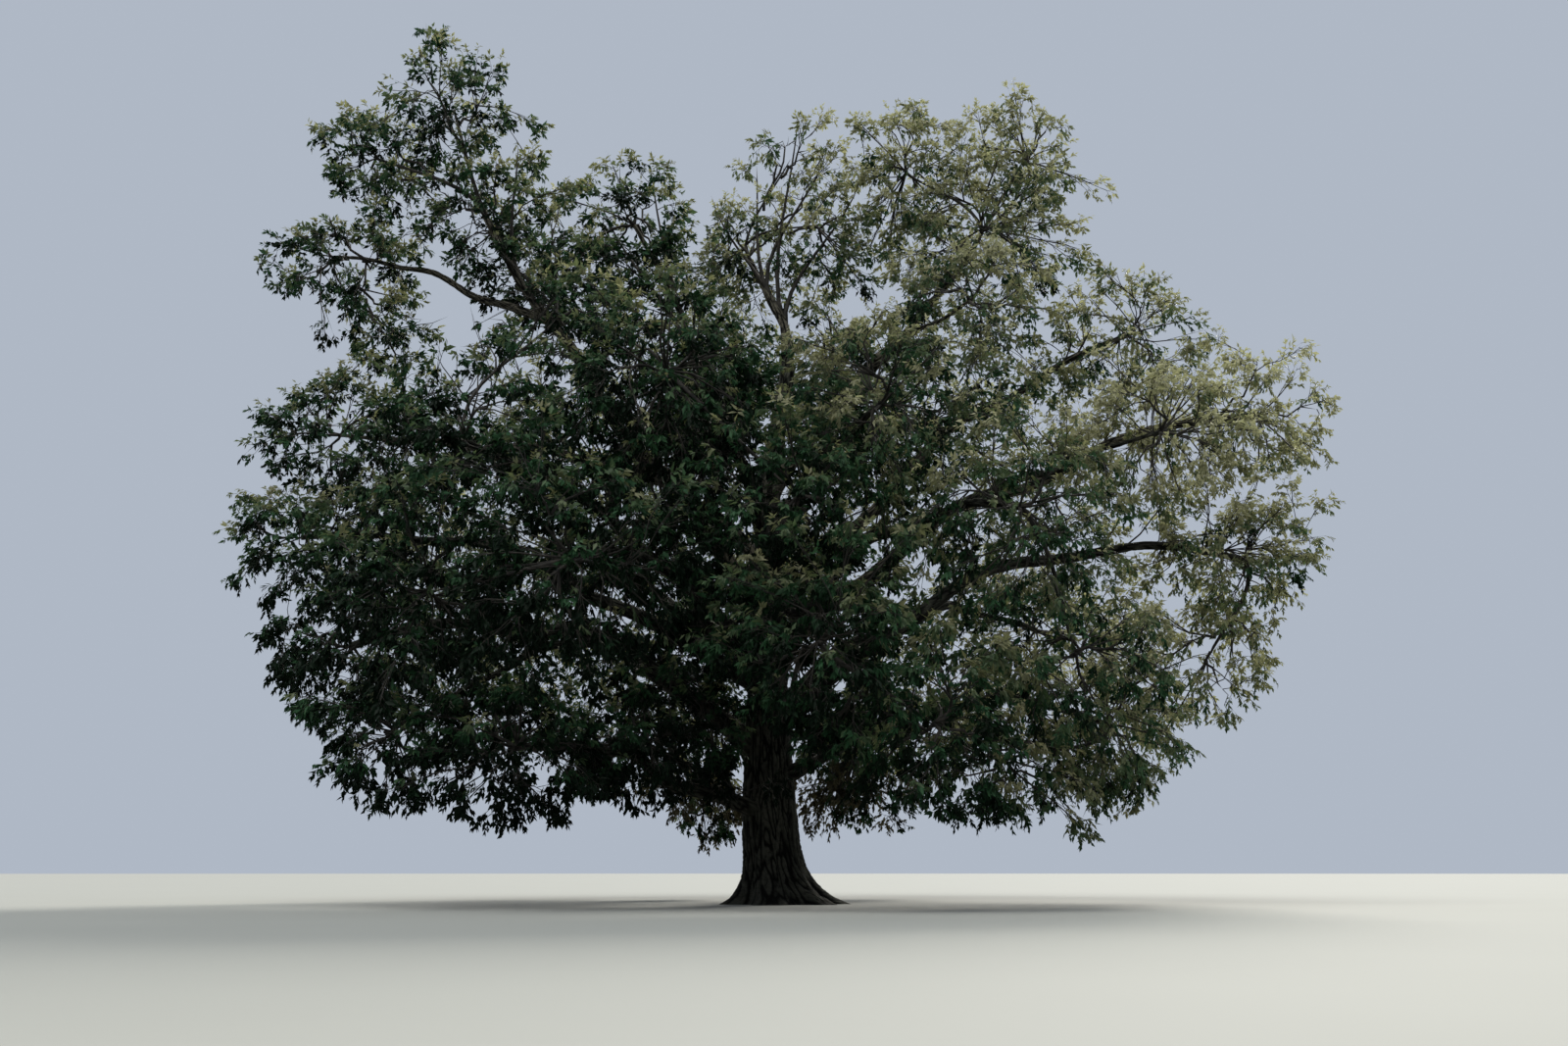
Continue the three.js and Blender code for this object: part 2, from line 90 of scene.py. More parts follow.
# The main twigs of a mass and the space that a mass keeps to, as in the solid model, whose twigs are only
# thicker, 0.06 in radius.
TWIG_AREA = 24.0
OPEN_TWIG_AREA = 14.0
FEWEST_TWIGS = 4
TWIG_RADIUS = 0.045
TWIG_SHARE = 0.62
TWIG_STRAY = 0.5
FIRST_TWIG = 0.4
LEAST_REACH = 0.6
REACH_STEP = 0.05
SPACE_REACH = 1.08
SPACE_MARGIN = 0.035
GOLDEN_ANGLE = math.pi * (3 - math.sqrt(5))
GOLDEN_SHARE = 0.618
UP = np.array([0.0, 0.0, 1.0])

# The solid model's seeds, and how many random numbers it draws for what only it has: the side that a twig's
# blades open to, and the lumps of a core. They are drawn here too, so that the next ones are the same.
LIMB_SEED = 1
TWIG_SEED = 101
BLADE_DRAWS = 3
CORE_DRAWS = 20

# Each row is a mass of foliage and its bough, as in the solid model: its name, the limb that it springs
# from and how far along, the bough's radius, the angles at which it leaves and arrives, whether the mass
# is open to the sky, how sunlit it is from 0 to 1, painted into its leaves' colour, how full of leaves it
# is from 0 to 1, and its lobes. A lobe is the x, y and z of its middle and its half width, depth and
# height. A seventh value marks bare dead twigs.
CROWN = (
    ("left_crest", "trunk", 0.47, 0.25, 62, 66, True, 0.42, 0.9,
     ((-8.3, -1.2, 18.6, 2.0, 2.2, 2.0), (-9.3, -1.0, 21.8, 2.2, 2.2, 2.2),
      (-11.7, -0.4, 20.5, 1.8, 1.9, 2.1))),
    ("left_arm", "left_crest", 0.72, 0.12, 20, 5, True, 0.39, 0.88,
     ((-12.6, 0.0, 17.6, 2.2, 2.2, 2.0), (-10.9, 0.3, 15.4, 1.1, 1.5, 1.7))),
    ("left_shoulder", "left_crest", 0.3, 0.15, 20, 8, False, 0.34, 1.0,
     ((-12.4, 1.0, 12.7, 2.7, 2.7, 2.0), (-9.2, 1.5, 13.9, 1.9, 2.4, 1.6))),
    ("left_far", "trunk", 0.37, 0.23, 30, -8, True, 0.4, 0.95,
     ((-12.9, -0.2, 9.5, 2.3, 2.7, 2.1),)),
    ("left_low", "trunk", 0.235, 0.29, 48, -22, False, 0.17, 1.0,
     ((-11.0, -1.5, 6.4, 2.5, 2.8, 2.3),)),
    ("left_skirt", "left_low", 0.4, 0.13, 2, -30, False, 0.21, 1.0,
     ((-9.1, -3.9, 4.0, 2.2, 2.3, 1.9),)),
    ("low_left_skirt", "trunk", 0.155, 0.21, 8, -12, False, 0.2, 1.0,
     ((-6.0, -5.6, 3.5, 2.3, 2.3, 1.9), (-3.3, -4.6, 3.7, 1.9, 2.0, 1.6))),
    ("front_left", "trunk", 0.33, 0.23, 38, -20, False, 0.17, 1.0,
     ((-4.4, -8.7, 7.2, 2.7, 2.6, 2.6), (-7.9, -6.4, 6.9, 2.5, 2.6, 2.3))),
    ("front_left_high", "trunk", 0.42, 0.2, 36, 14, False, 0.26, 0.8,
     ((-7.7, -4.7, 10.9, 2.8, 2.8, 2.5), (-5.8, -3.0, 14.7, 2.4, 2.5, 2.2))),
    ("front_skirt", "trunk", 0.28, 0.2, 44, -38, False, 0.35, 1.0,
     ((0.7, -8.9, 5.4, 2.1, 2.3, 2.3), (3.1, -8.3, 3.8, 2.0, 2.1, 2.0))),
    ("front_centre", "trunk", 0.62, 0.19, 45, 5, False, 0.32, 1.0,
     ((-2.7, -6.7, 12.0, 2.8, 2.7, 2.7), (0.3, -8.0, 8.7, 2.0, 2.2, 1.9))),
    ("front_right_high", "trunk", 0.57, 0.19, 40, 0, False, 0.62, 1.0,
     ((2.2, -7.0, 11.1, 2.6, 2.6, 2.7),)),
    ("front_right", "trunk", 0.4, 0.23, 40, -18, False, 0.55, 1.0,
     ((5.1, -7.9, 8.5, 2.6, 2.5, 2.5), (6.5, -6.2, 5.6, 2.4, 2.4, 2.2))),
    ("mid_left_crest", "trunk", 0.67, 0.17, 66, 60, False, 0.38, 0.95,
     ((-4.3, 0.8, 18.9, 2.0, 2.2, 2.3), (-6.7, 1.8, 17.9, 1.7, 2.1, 2.2))),
    ("centre_crest", "trunk", 1.0, 0.15, 90, 80, True, 0.62, 0.95,
     ((-1.1, 0.8, 18.3, 1.7, 2.0, 2.0), (1.1, 0.2, 18.7, 1.3, 1.6, 2.3),
      (0.2, 0.2, 20.7, 0.9, 1.0, 1.5, True))),
    ("right_crest", "trunk", 0.72, 0.2, 62, 62, False, 0.74, 1.0,
     ((5.5, -0.6, 18.1, 2.5, 2.4, 2.4), (3.5, 0.3, 20.3, 1.9, 2.1, 2.3),
      (6.7, -0.6, 20.2, 1.7, 2.0, 1.9))),
    ("right_upper_front", "right_crest", 0.32, 0.11, 28, 12, False, 1.0, 1.0,
     ((4.7, -3.6, 14.9, 2.4, 2.5, 2.2),)),
    ("right_shoulder", "trunk", 0.5, 0.21, 48, 22, False, 0.74, 1.0,
     ((9.7, 0.9, 15.6, 2.4, 2.6, 2.0),)),
    ("right_far", "trunk", 0.43, 0.23, 40, 6, True, 1.0, 0.95,
     ((13.0, 0.0, 13.0, 2.4, 2.6, 2.2),)),
    ("right_mid", "right_far", 0.42, 0.13, 12, 5, False, 1.0, 0.88,
     ((9.4, -3.4, 11.5, 2.5, 2.7, 2.1),)),
    ("right_low", "trunk", 0.29, 0.25, 46, -14, True, 0.82, 0.9,
     ((12.3, -0.2, 8.9, 2.3, 2.7, 2.2), (11.3, 0.5, 6.3, 2.3, 2.5, 1.9))),
    ("right_skirt", "trunk", 0.2, 0.21, 30, -26, False, 0.74, 1.0,
     ((7.9, -2.6, 4.3, 2.0, 2.5, 2.2), (5.0, -4.5, 3.3, 2.2, 2.2, 1.7))),
    ("back_left_high", "trunk", 0.58, 0.18, 52, 30, False, 0.64, 0.95,
     ((-6.9, 5.9, 13.9, 2.9, 2.9, 2.5), (-2.3, 5.2, 16.6, 2.6, 2.5, 2.3))),
    ("back_left", "trunk", 0.41, 0.22, 34, -6, False, 0.6, 0.92,
     ((-9.6, 6.3, 9.5, 3.0, 3.0, 2.6), (-9.4, 4.7, 5.7, 2.7, 2.7, 2.1))),
    ("back_left_skirt", "back_left", 0.28, 0.12, 0, -24, False, 0.5, 0.95,
     ((-5.2, 9.0, 5.0, 2.8, 2.6, 2.4), (-2.3, 7.6, 2.7, 1.3, 1.6, 1.1))),
    ("back_centre", "trunk", 0.45, 0.22, 42, 0, False, 0.6, 0.95,
     ((-1.2, 10.8, 9.8, 3.2, 2.7, 3.0), (-3.2, 8.6, 13.0, 2.5, 2.4, 2.2))),
    ("back_right_high", "trunk", 0.64, 0.18, 50, 20, False, 0.74, 0.95,
     ((4.3, 6.7, 14.7, 3.0, 2.9, 2.6), (8.1, 5.6, 12.2, 2.6, 2.7, 2.2))),
    ("back_right", "trunk", 0.31, 0.22, 42, -10, False, 0.9, 0.9,
     ((8.0, 8.0, 8.3, 3.0, 2.9, 2.5), (10.2, 4.6, 6.0, 2.1, 2.5, 2.0))),
    ("back_right_skirt", "back_right", 0.3, 0.12, 0, -22, False, 0.6, 0.95,
     ((3.9, 10.0, 5.2, 2.7, 2.5, 2.4), (2.9, 7.7, 3.1, 1.7, 1.8, 1.2))),
)

# The shares of a bough where it may enter its mass.
ENTRY_SHARES = np.arange(0.3, 1, 0.01)

# Clumps that grow straight from a bough outside its mass: the share of the bough where they start on a
# dense mass, on one whose bough leaves the trunk low down, and on an open mass, then how far apart the
# places are, how many grow at each, how far out, how much each leans forward and up, how low the lowest
# may be, and what such a clump has in place of a lobe's number.
BOUGH_CLUMPS_START = 0.36
LOW_BOUGH_CLUMPS_START = 0.13
LOW_BOUGH_ALONG = 0.46
OPEN_BOUGH_CLUMPS_START = 0.7
BOUGH_CLUMP_STEP = 0.85
BOUGH_CLUMPS_EACH = 3
LOW_BOUGH_CLUMPS_EACH = 4
BOUGH_CLUMP_NEAREST = 0.5
BOUGH_CLUMP_OUT = 1.1
LOW_BOUGH_CLUMP_OUT = 2.3
BOUGH_CLUMP_FORWARD = (0.2, 0.9)
BOUGH_CLUMP_RISE = (-0.6, 0.7)
LOWEST_BOUGH_CLUMP = 2.7
ON_BOUGH = -1

# Clumps in the corners between lobes: how many places are tried, how far from a lobe and from its two
# nearest neighbours they may be, and how far apart.
CORNER_TRIES = 60_000
CORNER_INNER = 0.98
CORNER_OUTER = 1.34
CORNER_NEIGHBOUR = 1.6
CORNER_THIRD = 2.0
CORNER_SPACING = 0.95

# Thin upright leaders in the crown's middle: the mass of each, the share of its bough where it leaves, and
# the x, y and z of its tip, then their radius at the foot, the tip's share of it, and how far they lean.
LEADERS = (
    ("centre_crest", 0.1, -2.1, 0.7, 19.8),
    ("centre_crest", 0.3, -0.8, 1.0, 20.9),
    ("centre_crest", 0.2, 0.4, 0.0, 22.0),
    ("centre_crest", 0.4, 1.3, 0.4, 21.3),
    ("centre_crest", 0.15, 2.2, 0.3, 20.2),
    ("mid_left_crest", 0.55, -3.9, 0.9, 20.9),
    ("mid_left_crest", 0.5, -5.4, 1.3, 20.0),
    ("left_crest", 0.8, -7.4, -1.0, 20.6),
)
LEADER_RADIUS = 0.075
LEADER_TIP = 0.15
LEADER_LEAN = 0.1

# More clumps where the crown would be too thin: the mass that each group belongs to, the lobe that it grows
# from, or ON_BOUGH, the x, y and z of its middle, its half width, depth and height, and their number.
# A tenth of a group's volume, in its middle, is left free.
MORE_CLUMPS = (
    ("back_left_skirt", ON_BOUGH, -2.0, 5.6, 5.4, 1.6, 1.9, 1.7, 26),
    ("back_left_skirt", ON_BOUGH, -2.2, 7.2, 2.8, 1.2, 1.4, 1.0, 22),
    ("back_right_skirt", ON_BOUGH, 1.9, 6.0, 4.9, 1.7, 2.0, 1.8, 26),
    ("back_right_skirt", ON_BOUGH, 0.9, 5.6, 3.9, 1.0, 1.6, 1.3, 14),
    ("back_right_skirt", ON_BOUGH, 1.4, 6.2, 2.9, 1.1, 1.5, 0.8, 18),
    ("low_left_skirt", ON_BOUGH, -2.0, -1.9, 4.9, 1.0, 1.1, 0.9, 8),
    ("low_left_skirt", ON_BOUGH, -1.5, -2.7, 3.9, 0.5, 0.8, 0.6, 7),
    ("front_skirt", 0, 0.7, -7.1, 3.7, 0.9, 1.2, 0.8, 20),
    ("front_centre", ON_BOUGH, -1.6, -2.7, 12.5, 1.8, 1.3, 1.4, 22),
    ("front_right_high", ON_BOUGH, 1.4, -2.7, 12.3, 1.6, 1.3, 1.4, 20),
    ("front_left_high", ON_BOUGH, -3.6, -1.5, 12.4, 1.3, 1.2, 1.2, 12),
    ("right_low", 0, 12.3, -0.2, 8.9, 1.9, 2.2, 1.8, 14),
    ("front_centre", ON_BOUGH, -2.1, -5.6, 9.4, 1.4, 1.4, 1.3, 16),
    ("right_skirt", ON_BOUGH, 6.3, -3.2, 3.3, 1.8, 1.8, 1.3, 14),
    ("right_skirt", 0, 7.7, -2.8, 2.9, 1.3, 1.6, 0.9, 14),
    ("right_crest", 1, 3.3, 0.3, 20.0, 1.5, 1.6, 1.7, 16),
    ("centre_crest", 0, -1.9, 0.8, 17.3, 1.2, 1.3, 1.5, 14),
    ("centre_crest", 1, 2.1, 0.4, 17.5, 0.9, 1.2, 1.4, 12),
    ("back_left_high", ON_BOUGH, -1.6, 3.0, 14.9, 2.2, 1.7, 1.6, 22),
    ("back_right_high", ON_BOUGH, 2.2, 3.0, 14.6, 2.2, 1.7, 1.6, 22),
    ("back_right_high", ON_BOUGH, 1.5, 2.2, 16.3, 1.2, 1.3, 1.2, 12),
    ("back_centre", ON_BOUGH, 1.6, 5.8, 11.4, 1.8, 1.8, 1.8, 16),
    ("back_left_skirt", ON_BOUGH, -2.9, 4.6, 7.2, 1.5, 1.6, 1.6, 18),
)
MORE_CLUMPS_FREE = 0.1

# Openings where limbs show against the sky: the x, y and z of the middle and the half width, depth and
# height of each. Few leaves grow in them.
OPENINGS = (
    (-7.7, -3.4, 14.3, 1.7, 3.4, 2.3),
    (-6.9, 1.0, 14.6, 1.3, 2.6, 1.8),
    (-9.2, 1.5, 14.0, 1.4, 2.8, 1.1),
    (-7.9, -4.0, 12.6, 1.3, 2.8, 1.0),
    (-9.6, 0.3, 15.9, 0.7, 1.6, 1.4),
    (11.5, 2.2, 6.2, 1.0, 4.5, 0.8),
)
OPENING_LEAVES = 0.08

# The steps along each stem, twig, branch and branchlet inside a mass, the radius of its tip as a share of
# its foot's, and the sides of its tube. A stem's foot and tip are both shares of its bough's end.
STEM_STEPS = 8
STEM_FOOT = 0.8
STEM_TIP = 0.45
STEM_SIDES = 7
TWIG_STEPS = 6
TWIG_TIP = 0.4
TWIG_SIDES = 6
BRANCH_STEPS = 4
BRANCH_TIP = 0.35
BRANCH_SIDES = 4
BRANCHLET_STEPS = 2
BRANCHLET_TIP = 0.4
BRANCHLET_SIDES = 3
SHOOT_RADII = (0.006, 0.002)
SHOOT_SIDES = 3

# How stems and twigs leave a bough: the number of places inside its mass where branches can, the share of
# it where a stem takes its direction and how much of that it keeps, and how far twigs and branches wander.
# Then a share of a row just short of its end, and the steps back or on that tell a bough's direction.
BOUGH_SAMPLES = 6
STEM_LEAVES_AT = 0.9
STEM_KEEPS = 0.8
TWIG_WOBBLE = 0.07
BRANCH_WOBBLE = 0.03
JUST_SHORT = 0.9999
STEP_BACK = 0.03
STEP_ON = 0.02

# How far the directions of a lobe's clumps stray, how deep they lie in it, where 1 is its skin, their sizes
# as shares of the usual one, the heights between which they droop less, and how much of the droop their
# own direction and their whole shape take.
CLUMP_SCATTER = 0.12
CLUMP_DEPTHS = (0.58, 0.93)
OPEN_CLUMP_DEPTHS = (0.45, 0.92)
CLUMP_SIZES = (0.75, 1.2)
BARE_CLUMP_SIZE = 0.8
DROOP_HEIGHTS = (6, 18)
CLUMP_DROOP = 0.4
CLUMP_SAG = 0.35

# A branch to a clump: the most of its limb's radius that it may have, its own radius at the least and for
# each metre of its length, and how far into the clump it goes, as a share of the clump's size.
BRANCH_OF_LIMB = 0.7
BRANCH_RADIUS = 0.009
BRANCH_RADIUS_EACH_METRE = 0.009
BRANCH_INTO_CLUMP = 0.45

# The branchlets of a clump: how far they stray from an even spread and lean forward, the least reach and
# the reach of those that keep to no mass's space, where on the branch they start, the share of their reach
# that tells whether they grow into an opening, their lengths, droop, radii and room to the next limb.
BRANCHLET_SCATTER = 0.2
BRANCHLET_FORWARD = 0.35
LEAST_BRANCHLET = 0.3
FREE_BRANCHLET = 0.8
BRANCHLETS_START = 0.4
BRANCHLET_MIDDLE = 0.5
BRANCHLET_LENGTHS = (0.75, 1)
BRANCHLET_DROOP = 0.5
BRANCHLET_RADII = (0.009, 0.013)
BRANCHLET_ROOM = 0.12
LIMB_MARKS = 120

# The shoots of a branchlet: where the side shoots start, over how much of it and how unevenly, where the
# last one goes on, the degrees at which they leave, how long they are at its foot and how much shorter at
# its tip, and their room to the next limb. The two spreads serve leaves too.
SIDE_SHOOTS_START = 0.3
SIDE_SHOOTS_OVER = 0.62
SHOOT_STRAY = 0.8
TIP_SHOOT_AT = 0.97
SIDE_SHOOT_ANGLES = (38, 65)
TIP_SHOOT_ANGLE = 10
FOOT_SHOOT = 1.1
SHOOTS_SHORTEN = 0.3
SHOOT_ROOM = 0.05
DROOP_SPREAD = (0.3, 1.1)
LENGTH_SPREAD = (0.75, 1.25)

# The kinds of leaf colour, from deep shade to full sun: steps of painted sun and shade on the leaves'
# green, and in the pale kind the painted haze of the sun. Then how sunlit the first shoot of each is, the
# few turned leaves, whose bronze is their own colour, the tones beyond the first and last kinds and of
# turned leaves, as shares of their own colour, and the most triangles that one piece may have.
KINDS = ("shade", "deep_green", "leaf_green", "olive", "sunlit", "pale", "bronze")
SHADED_KINDS = ("shade", "deep_green")
KIND_STARTS = (0.0, 0.2, 0.42, 0.62, 0.8, 0.95)
BRONZE_MASSES = ("back_left_skirt", "back_right_skirt")
BRONZE_BELOW = 3.9
BRONZE_SHARE = 0.65
BRONZE_TONES = (0.6, 1.5)
DARKEST = 0.3
LIGHTEST = 1.4
MOST_TRIANGLES = 190_000

# The corners of one leaf, from its foot round to its other side, as shares of its length and of half its
# width, the corners of its two halves, and how it folds and curls.
LEAF_CORNERS = ((0.0, 0.0), (0.42, 1.0), (1.0, 0.0), (0.42, -1.0))
LEAF_HALVES = ((0, 1, 2), (0, 2, 3))
LEAF_FOLD = 0.3
LEAF_CURL = 0.1

# The leaves of a shoot: where the first one sits and how unevenly they follow, the degrees at which they
# stand off at its foot, less towards its tip and give or take, their droop, how much they face up, outward
# and anyhow, and their widths.
FIRST_LEAF = 0.15
LEAF_STRAY = 0.6
LEAF_ANGLE = 62
LEAF_ANGLE_FALL = 34
LEAF_ANGLE_SPREAD = 16
LEAF_DROOP = 0.2
FACE_UP = 0.4
FACE_OUTWARD = 0.8
FACE_SPREAD = 0.4
WIDTH_SPREAD = (0.85, 1.15)

# Inside a clump the leaves are larger and fewer: by how much, and the places between which that ends, where
# 0 is the clump's middle and 1 its edge.
INNER_LEAF = 1.6
INNER_SHARE = 0.6
INNER_PLACES = (0.5, 1.1)

# Each leaf's cell in the UV map: its margin, and the share of it that half the leaf's width takes.
CELL_MARGIN = 0.06
CELL_HALF = 0.45

# Leaves near the crown's middle are shaded by the rest, a shade painted into their colour: the distances
# from its axis between which the sun reaches them, the share that it has at the nearer one, and the heights
# between which that shade ends.
SHADED_WITHIN = (2.5, 8.5)
MIDDLE_SUN = 0.35
SHADE_ENDS = (12.5, 17.0)

# How sunlit a shoot is beside its mass, painted into its leaves' colour as sun and shade: by its depth in
# its lobe and its clump, where the given depth changes nothing, by its height in both, and by chance, from
# clump to clump, more in a sunlit mass, and from shoot to shoot. Then the sunlight between which leaves get
# smaller, and how their tones differ.
SUN_BY_DEPTH = 0.35
USUAL_DEPTH = 0.88
SUN_BY_RISE = 0.2
SUN_BY_CLUMP_DEPTH = 0.4
USUAL_CLUMP_DEPTH = 0.85
MOST_CLUMP_DEPTH = 1.1
SUN_BY_CLUMP_RISE = 0.24
SUNLIT_MASS = 0.35
SUNLIT_PATCHES = 0.15
SHADE_PATCHES = 0.08
SHOOT_PATCHES = 0.05
SMALLER_LEAVES = (0.3, 0.6)
LEAF_TONES = 0.22

# The bark's relief is a noise drawn out along the limb, whose furrows are where it crosses zero. Finer
# furrows and short cracks across come from the same noise at other places. A stretch is a factor on
# distance along or across the limb, a sharpness is how steeply the bark rises from a furrow, and a share is
# how deep the finer furrows and the cracks go. The seed makes the furrows wander the same way on every run.
BARK_SEED = 1
FURROW_STRETCH = 0.2
WANDER_SCALE = 0.4
WANDER = 0.8
BROAD_SHARPNESS = 3.4
FINE_SCALE = 2.1
FINE_PLACE = Vector((7, 3, 5))
FINE_SHARPNESS = 4
FINE_SHARE = 0.48
CRACK_STRETCH = 0.6
CRACK_PLACE = Vector((2, 9, 4))
CRACK_SHARPNESS = 7
CRACK_SHARE = 0.3
GRAIN_SCALE = 3
GRAIN = 0.14

# The height in the relief that lies on the smooth limb, the stretch of the bark's colours, the gap that is
# closed where a tube's sides meet, the places along a bough that its bark is worked out from, and a
# direction close to up that no bough starts in.
SMOOTH_HEIGHT = 0.6
COLOUR_STRETCH = 0.35
SEAM = 1e-5
BOUGH_MARKS = 60
NEARLY_UP = (0.01, 0.0, 1.0)

# The stage: the floor, the camera with its lens and sensor in millimetres, and for each lamp its name, its
# strength, its colour, the degrees that it spans and its tilt.
FLOOR_RADIUS = 900
FLOOR_SIDES = 96
LENS = 35
SENSOR_WIDTH = 36
FARTHEST_SEEN = 3000
LAMPS = (
    ("key", 4.5, (1.0, 0.95, 0.86), 20, (-48, 30, 0)),
    ("fill", 3.0, (1.0, 1.0, 0.96), 50, (26, -14, 0)),
)


class Lobe:
    """One rounded lobe of a mass of foliage."""

    def __init__(self, x, y, z, wide, deep, tall, bare=False):
        self.middle = np.array([x, y, z])
        self.half = np.array([wide, deep, tall])
        self.bare = bare

    def skin(self):
        """The area of the lobe's skin, close enough for a number of twigs."""
        return 4 * math.pi * math.prod(self.half) ** (2 / 3)


class Mass:
    """A row of the crown's table, with its place in the table."""

    def __init__(self, index, row):
        names = "name source along radius leaves arrives open sun full".split()
        for name, value in zip(names, row[:-1], strict=True):
            setattr(self, name, value)
        self.index = index
        self.lobes = [Lobe(*values) for values in row[-1]]


MASSES = [Mass(index, row) for index, row in enumerate(CROWN)]
LOBES = [lobe for mass in MASSES for lobe in mass.lobes]
LOBE_MIDDLES = np.array([lobe.middle for lobe in LOBES])
LOBE_HALVES = np.array([lobe.half for lobe in LOBES])
LOBE_OWNERS = np.array([mass.index for mass in MASSES for _ in mass.lobes])


# The growth rule, written as in the solid model.


def seeded(seed):
    """Yields random numbers from 0 to 1 that are the same on every run."""
    state = (seed * 7919 + 104729) % 2147483647
    while True:
        state = state * 48271 % 2147483647
        yield state / 2147483647


def unit(vectors):
    """The vectors at a length of 1."""
    vectors = np.asarray(vectors, float)
    return vectors / np.maximum(np.linalg.norm(vectors, axis=-1, keepdims=True), 1e-12)


def lift(values):
    """An array with one more axis at its end, to multiply vectors by."""
    return np.asarray(values, float)[..., None]


def smoothstep(values, low, high):
    """From 0 at the low value to 1 at the high one, level at both."""
    share = np.clip((values - low) / (high - low), 0, 1)
    return share * share * (3 - 2 * share)


def cubic_shares(t):
    """How much each of a cubic's four corners counts at each share of it."""
    return np.stack([(1 - t) ** 3, 3 * t * (1 - t) ** 2, 3 * t**2 * (1 - t), t**3], -1)


def columns(rows):
    """One array for each column of some rows."""
    return [np.array(column) for column in zip(*rows, strict=True)]


class TrunkLine:
    """The trunk's centreline from the ground to the fork."""

    reach = TRUNK_HEIGHT

    def at(self, t):
        t = np.asarray(t, float)
        left = LEAN * (1 - np.exp(-t * TRUNK_HEIGHT / LEAN_WITHIN))
        back = RETURN * smoothstep(t, RETURN_STARTS, 1)
        return np.stack([back - left, BOW_BACK * np.sin(np.pi * t), t * TRUNK_HEIGHT], -1)

    def radius(self, t):
        shrink = (np.maximum(0, t - TAPER_STARTS) / (1 - TAPER_STARTS)) ** TAPER_POWER
        return TRUNK_RADIUS + (FORK_RADIUS - TRUNK_RADIUS) * shrink


class LimbLine:
    """A limb's centreline: a cubic from its root to its end, which leaves and arrives at given angles to
    the ground, with a seeded sway that dies away at both ends."""

    def __init__(self, root, mass, seed):
        end = mass.lobes[0].middle
        self.reach = np.linalg.norm(end - root)
        self.thick = mass.radius
        level = unit((end - root) * (1, 1, 0))
        out = root + self.heading(level, mass.leaves) * self.reach * STRAIGHT_OUT
        back = end - self.heading(level, mass.arrives) * self.reach * STRAIGHT_IN
        self.corners = np.array([root, out, back, end])
        self.across = np.cross(level, UP)
        random = seeded(seed)
        self.sway_phase = next(random) * 2 * math.pi
        self.rise_phase = next(random) * 2 * math.pi

    @staticmethod
    def heading(level, angle):
        """The direction at an angle to the ground."""
        return level * math.cos(math.radians(angle)) + UP * math.sin(math.radians(angle))

    def at(self, t):
        t = np.asarray(t, float)
        fade = self.reach * np.sin(np.pi * t) ** 2
        sway = fade * SWAY * np.sin(2 * np.pi * SWAY_TURNS * t + self.sway_phase)
        rise = fade * RISE * np.sin(2 * np.pi * RISE_TURNS * t + self.rise_phase)
        return cubic_shares(t) @ self.corners + lift(sway) * self.across + lift(rise) * UP

    def radius(self, t):
        return self.thick * (1 - LIMB_TAPER * t) * (1 + COLLAR * np.exp(-t / COLLAR_SHARE))


def lobe_depths(points):
    """How far each point lies from the middle of each lobe, where 1 is the lobe's skin."""
    return np.linalg.norm((points[:, None] - LOBE_MIDDLES) / LOBE_HALVES, axis=2)


def in_space(points, owners, reach=SPACE_REACH, between=0):
    """True where a point lies in its own mass's space: in reach of its lobes, and nearer to them than to
    any other mass. Where another mass is close too, it may lie as far out as the reach between masses."""
    depths = lobe_depths(points)
    own = LOBE_OWNERS == np.asarray(owners)[:, None]
    depth = np.where(own, depths, np.inf).min(1)
    other = np.where(own, np.inf, depths).min(1)
    reaches = (depth < reach) | (np.maximum(depth, other) < between)
    return reaches & (depth + SPACE_MARGIN < other)


def reach_in_space(middle, skinward, owners, least, limit=SPACE_REACH, between=0):
    """How far each direction may go from its middle, from 1 down, before it leaves its mass's space."""
    reach = np.ones(len(skinward))
    for _ in range(math.ceil((1 - least) / REACH_STEP)):
        stays = in_space(middle + skinward * lift(reach), owners, limit, between)
        reach = np.where(stays | (reach <= least), reach, reach - REACH_STEP)
    return reach


def share_kept(points):
    """The share of leaves that grow at each point: few where an opening is."""
    kept = np.ones(len(points))
    for x, y, z, wide, deep, tall in OPENINGS:
        inside = np.linalg.norm((points - (x, y, z)) / (wide, deep, tall), axis=1) < 1
        kept[inside] = OPENING_LEAVES
    return kept


def spread(count, turn):
    """Directions spread evenly all round by the golden angle."""
    i = np.arange(count)
    height = 1 - 2 * (i + 0.5) / count
    angle = turn + i * GOLDEN_ANGLE
    level = np.sqrt(1 - height**2)
    return np.stack([level * np.sin(angle), level * np.cos(angle), height], -1)


def main_twigs(lobe, entry, mass, random):
    """The root, tip and direction of each twig that the solid model has in a lobe."""
    area = OPEN_TWIG_AREA if mass.open else TWIG_AREA
    count = max(FEWEST_TWIGS, round(lobe.skin() / area))
    turn = next(random) * 2 * math.pi
    twigs = []
    for i in range(count):
        height = 1 - 2 * (i + 0.5) / count
        angle = turn + i * GOLDEN_ANGLE + (next(random) - 0.5) * TWIG_STRAY
        for _ in range(BLADE_DRAWS):
            next(random)
        level = math.sqrt(1 - height**2)
        out = np.array([level * math.sin(angle), level * math.cos(angle), height])
        share = FIRST_TWIG + (1 - FIRST_TWIG) * ((i * GOLDEN_SHARE) % 1) if mass.open else 1
        root = entry + (lobe.middle - entry) * share
        skinward = out * lobe.half
        reach = reach_in_space(lobe.middle, skinward[None], [mass.index], LEAST_REACH)[0]
        if reach > LEAST_REACH:
            twigs.append((root, lobe.middle + skinward * reach * TWIG_SHARE, unit(out)))
    return twigs


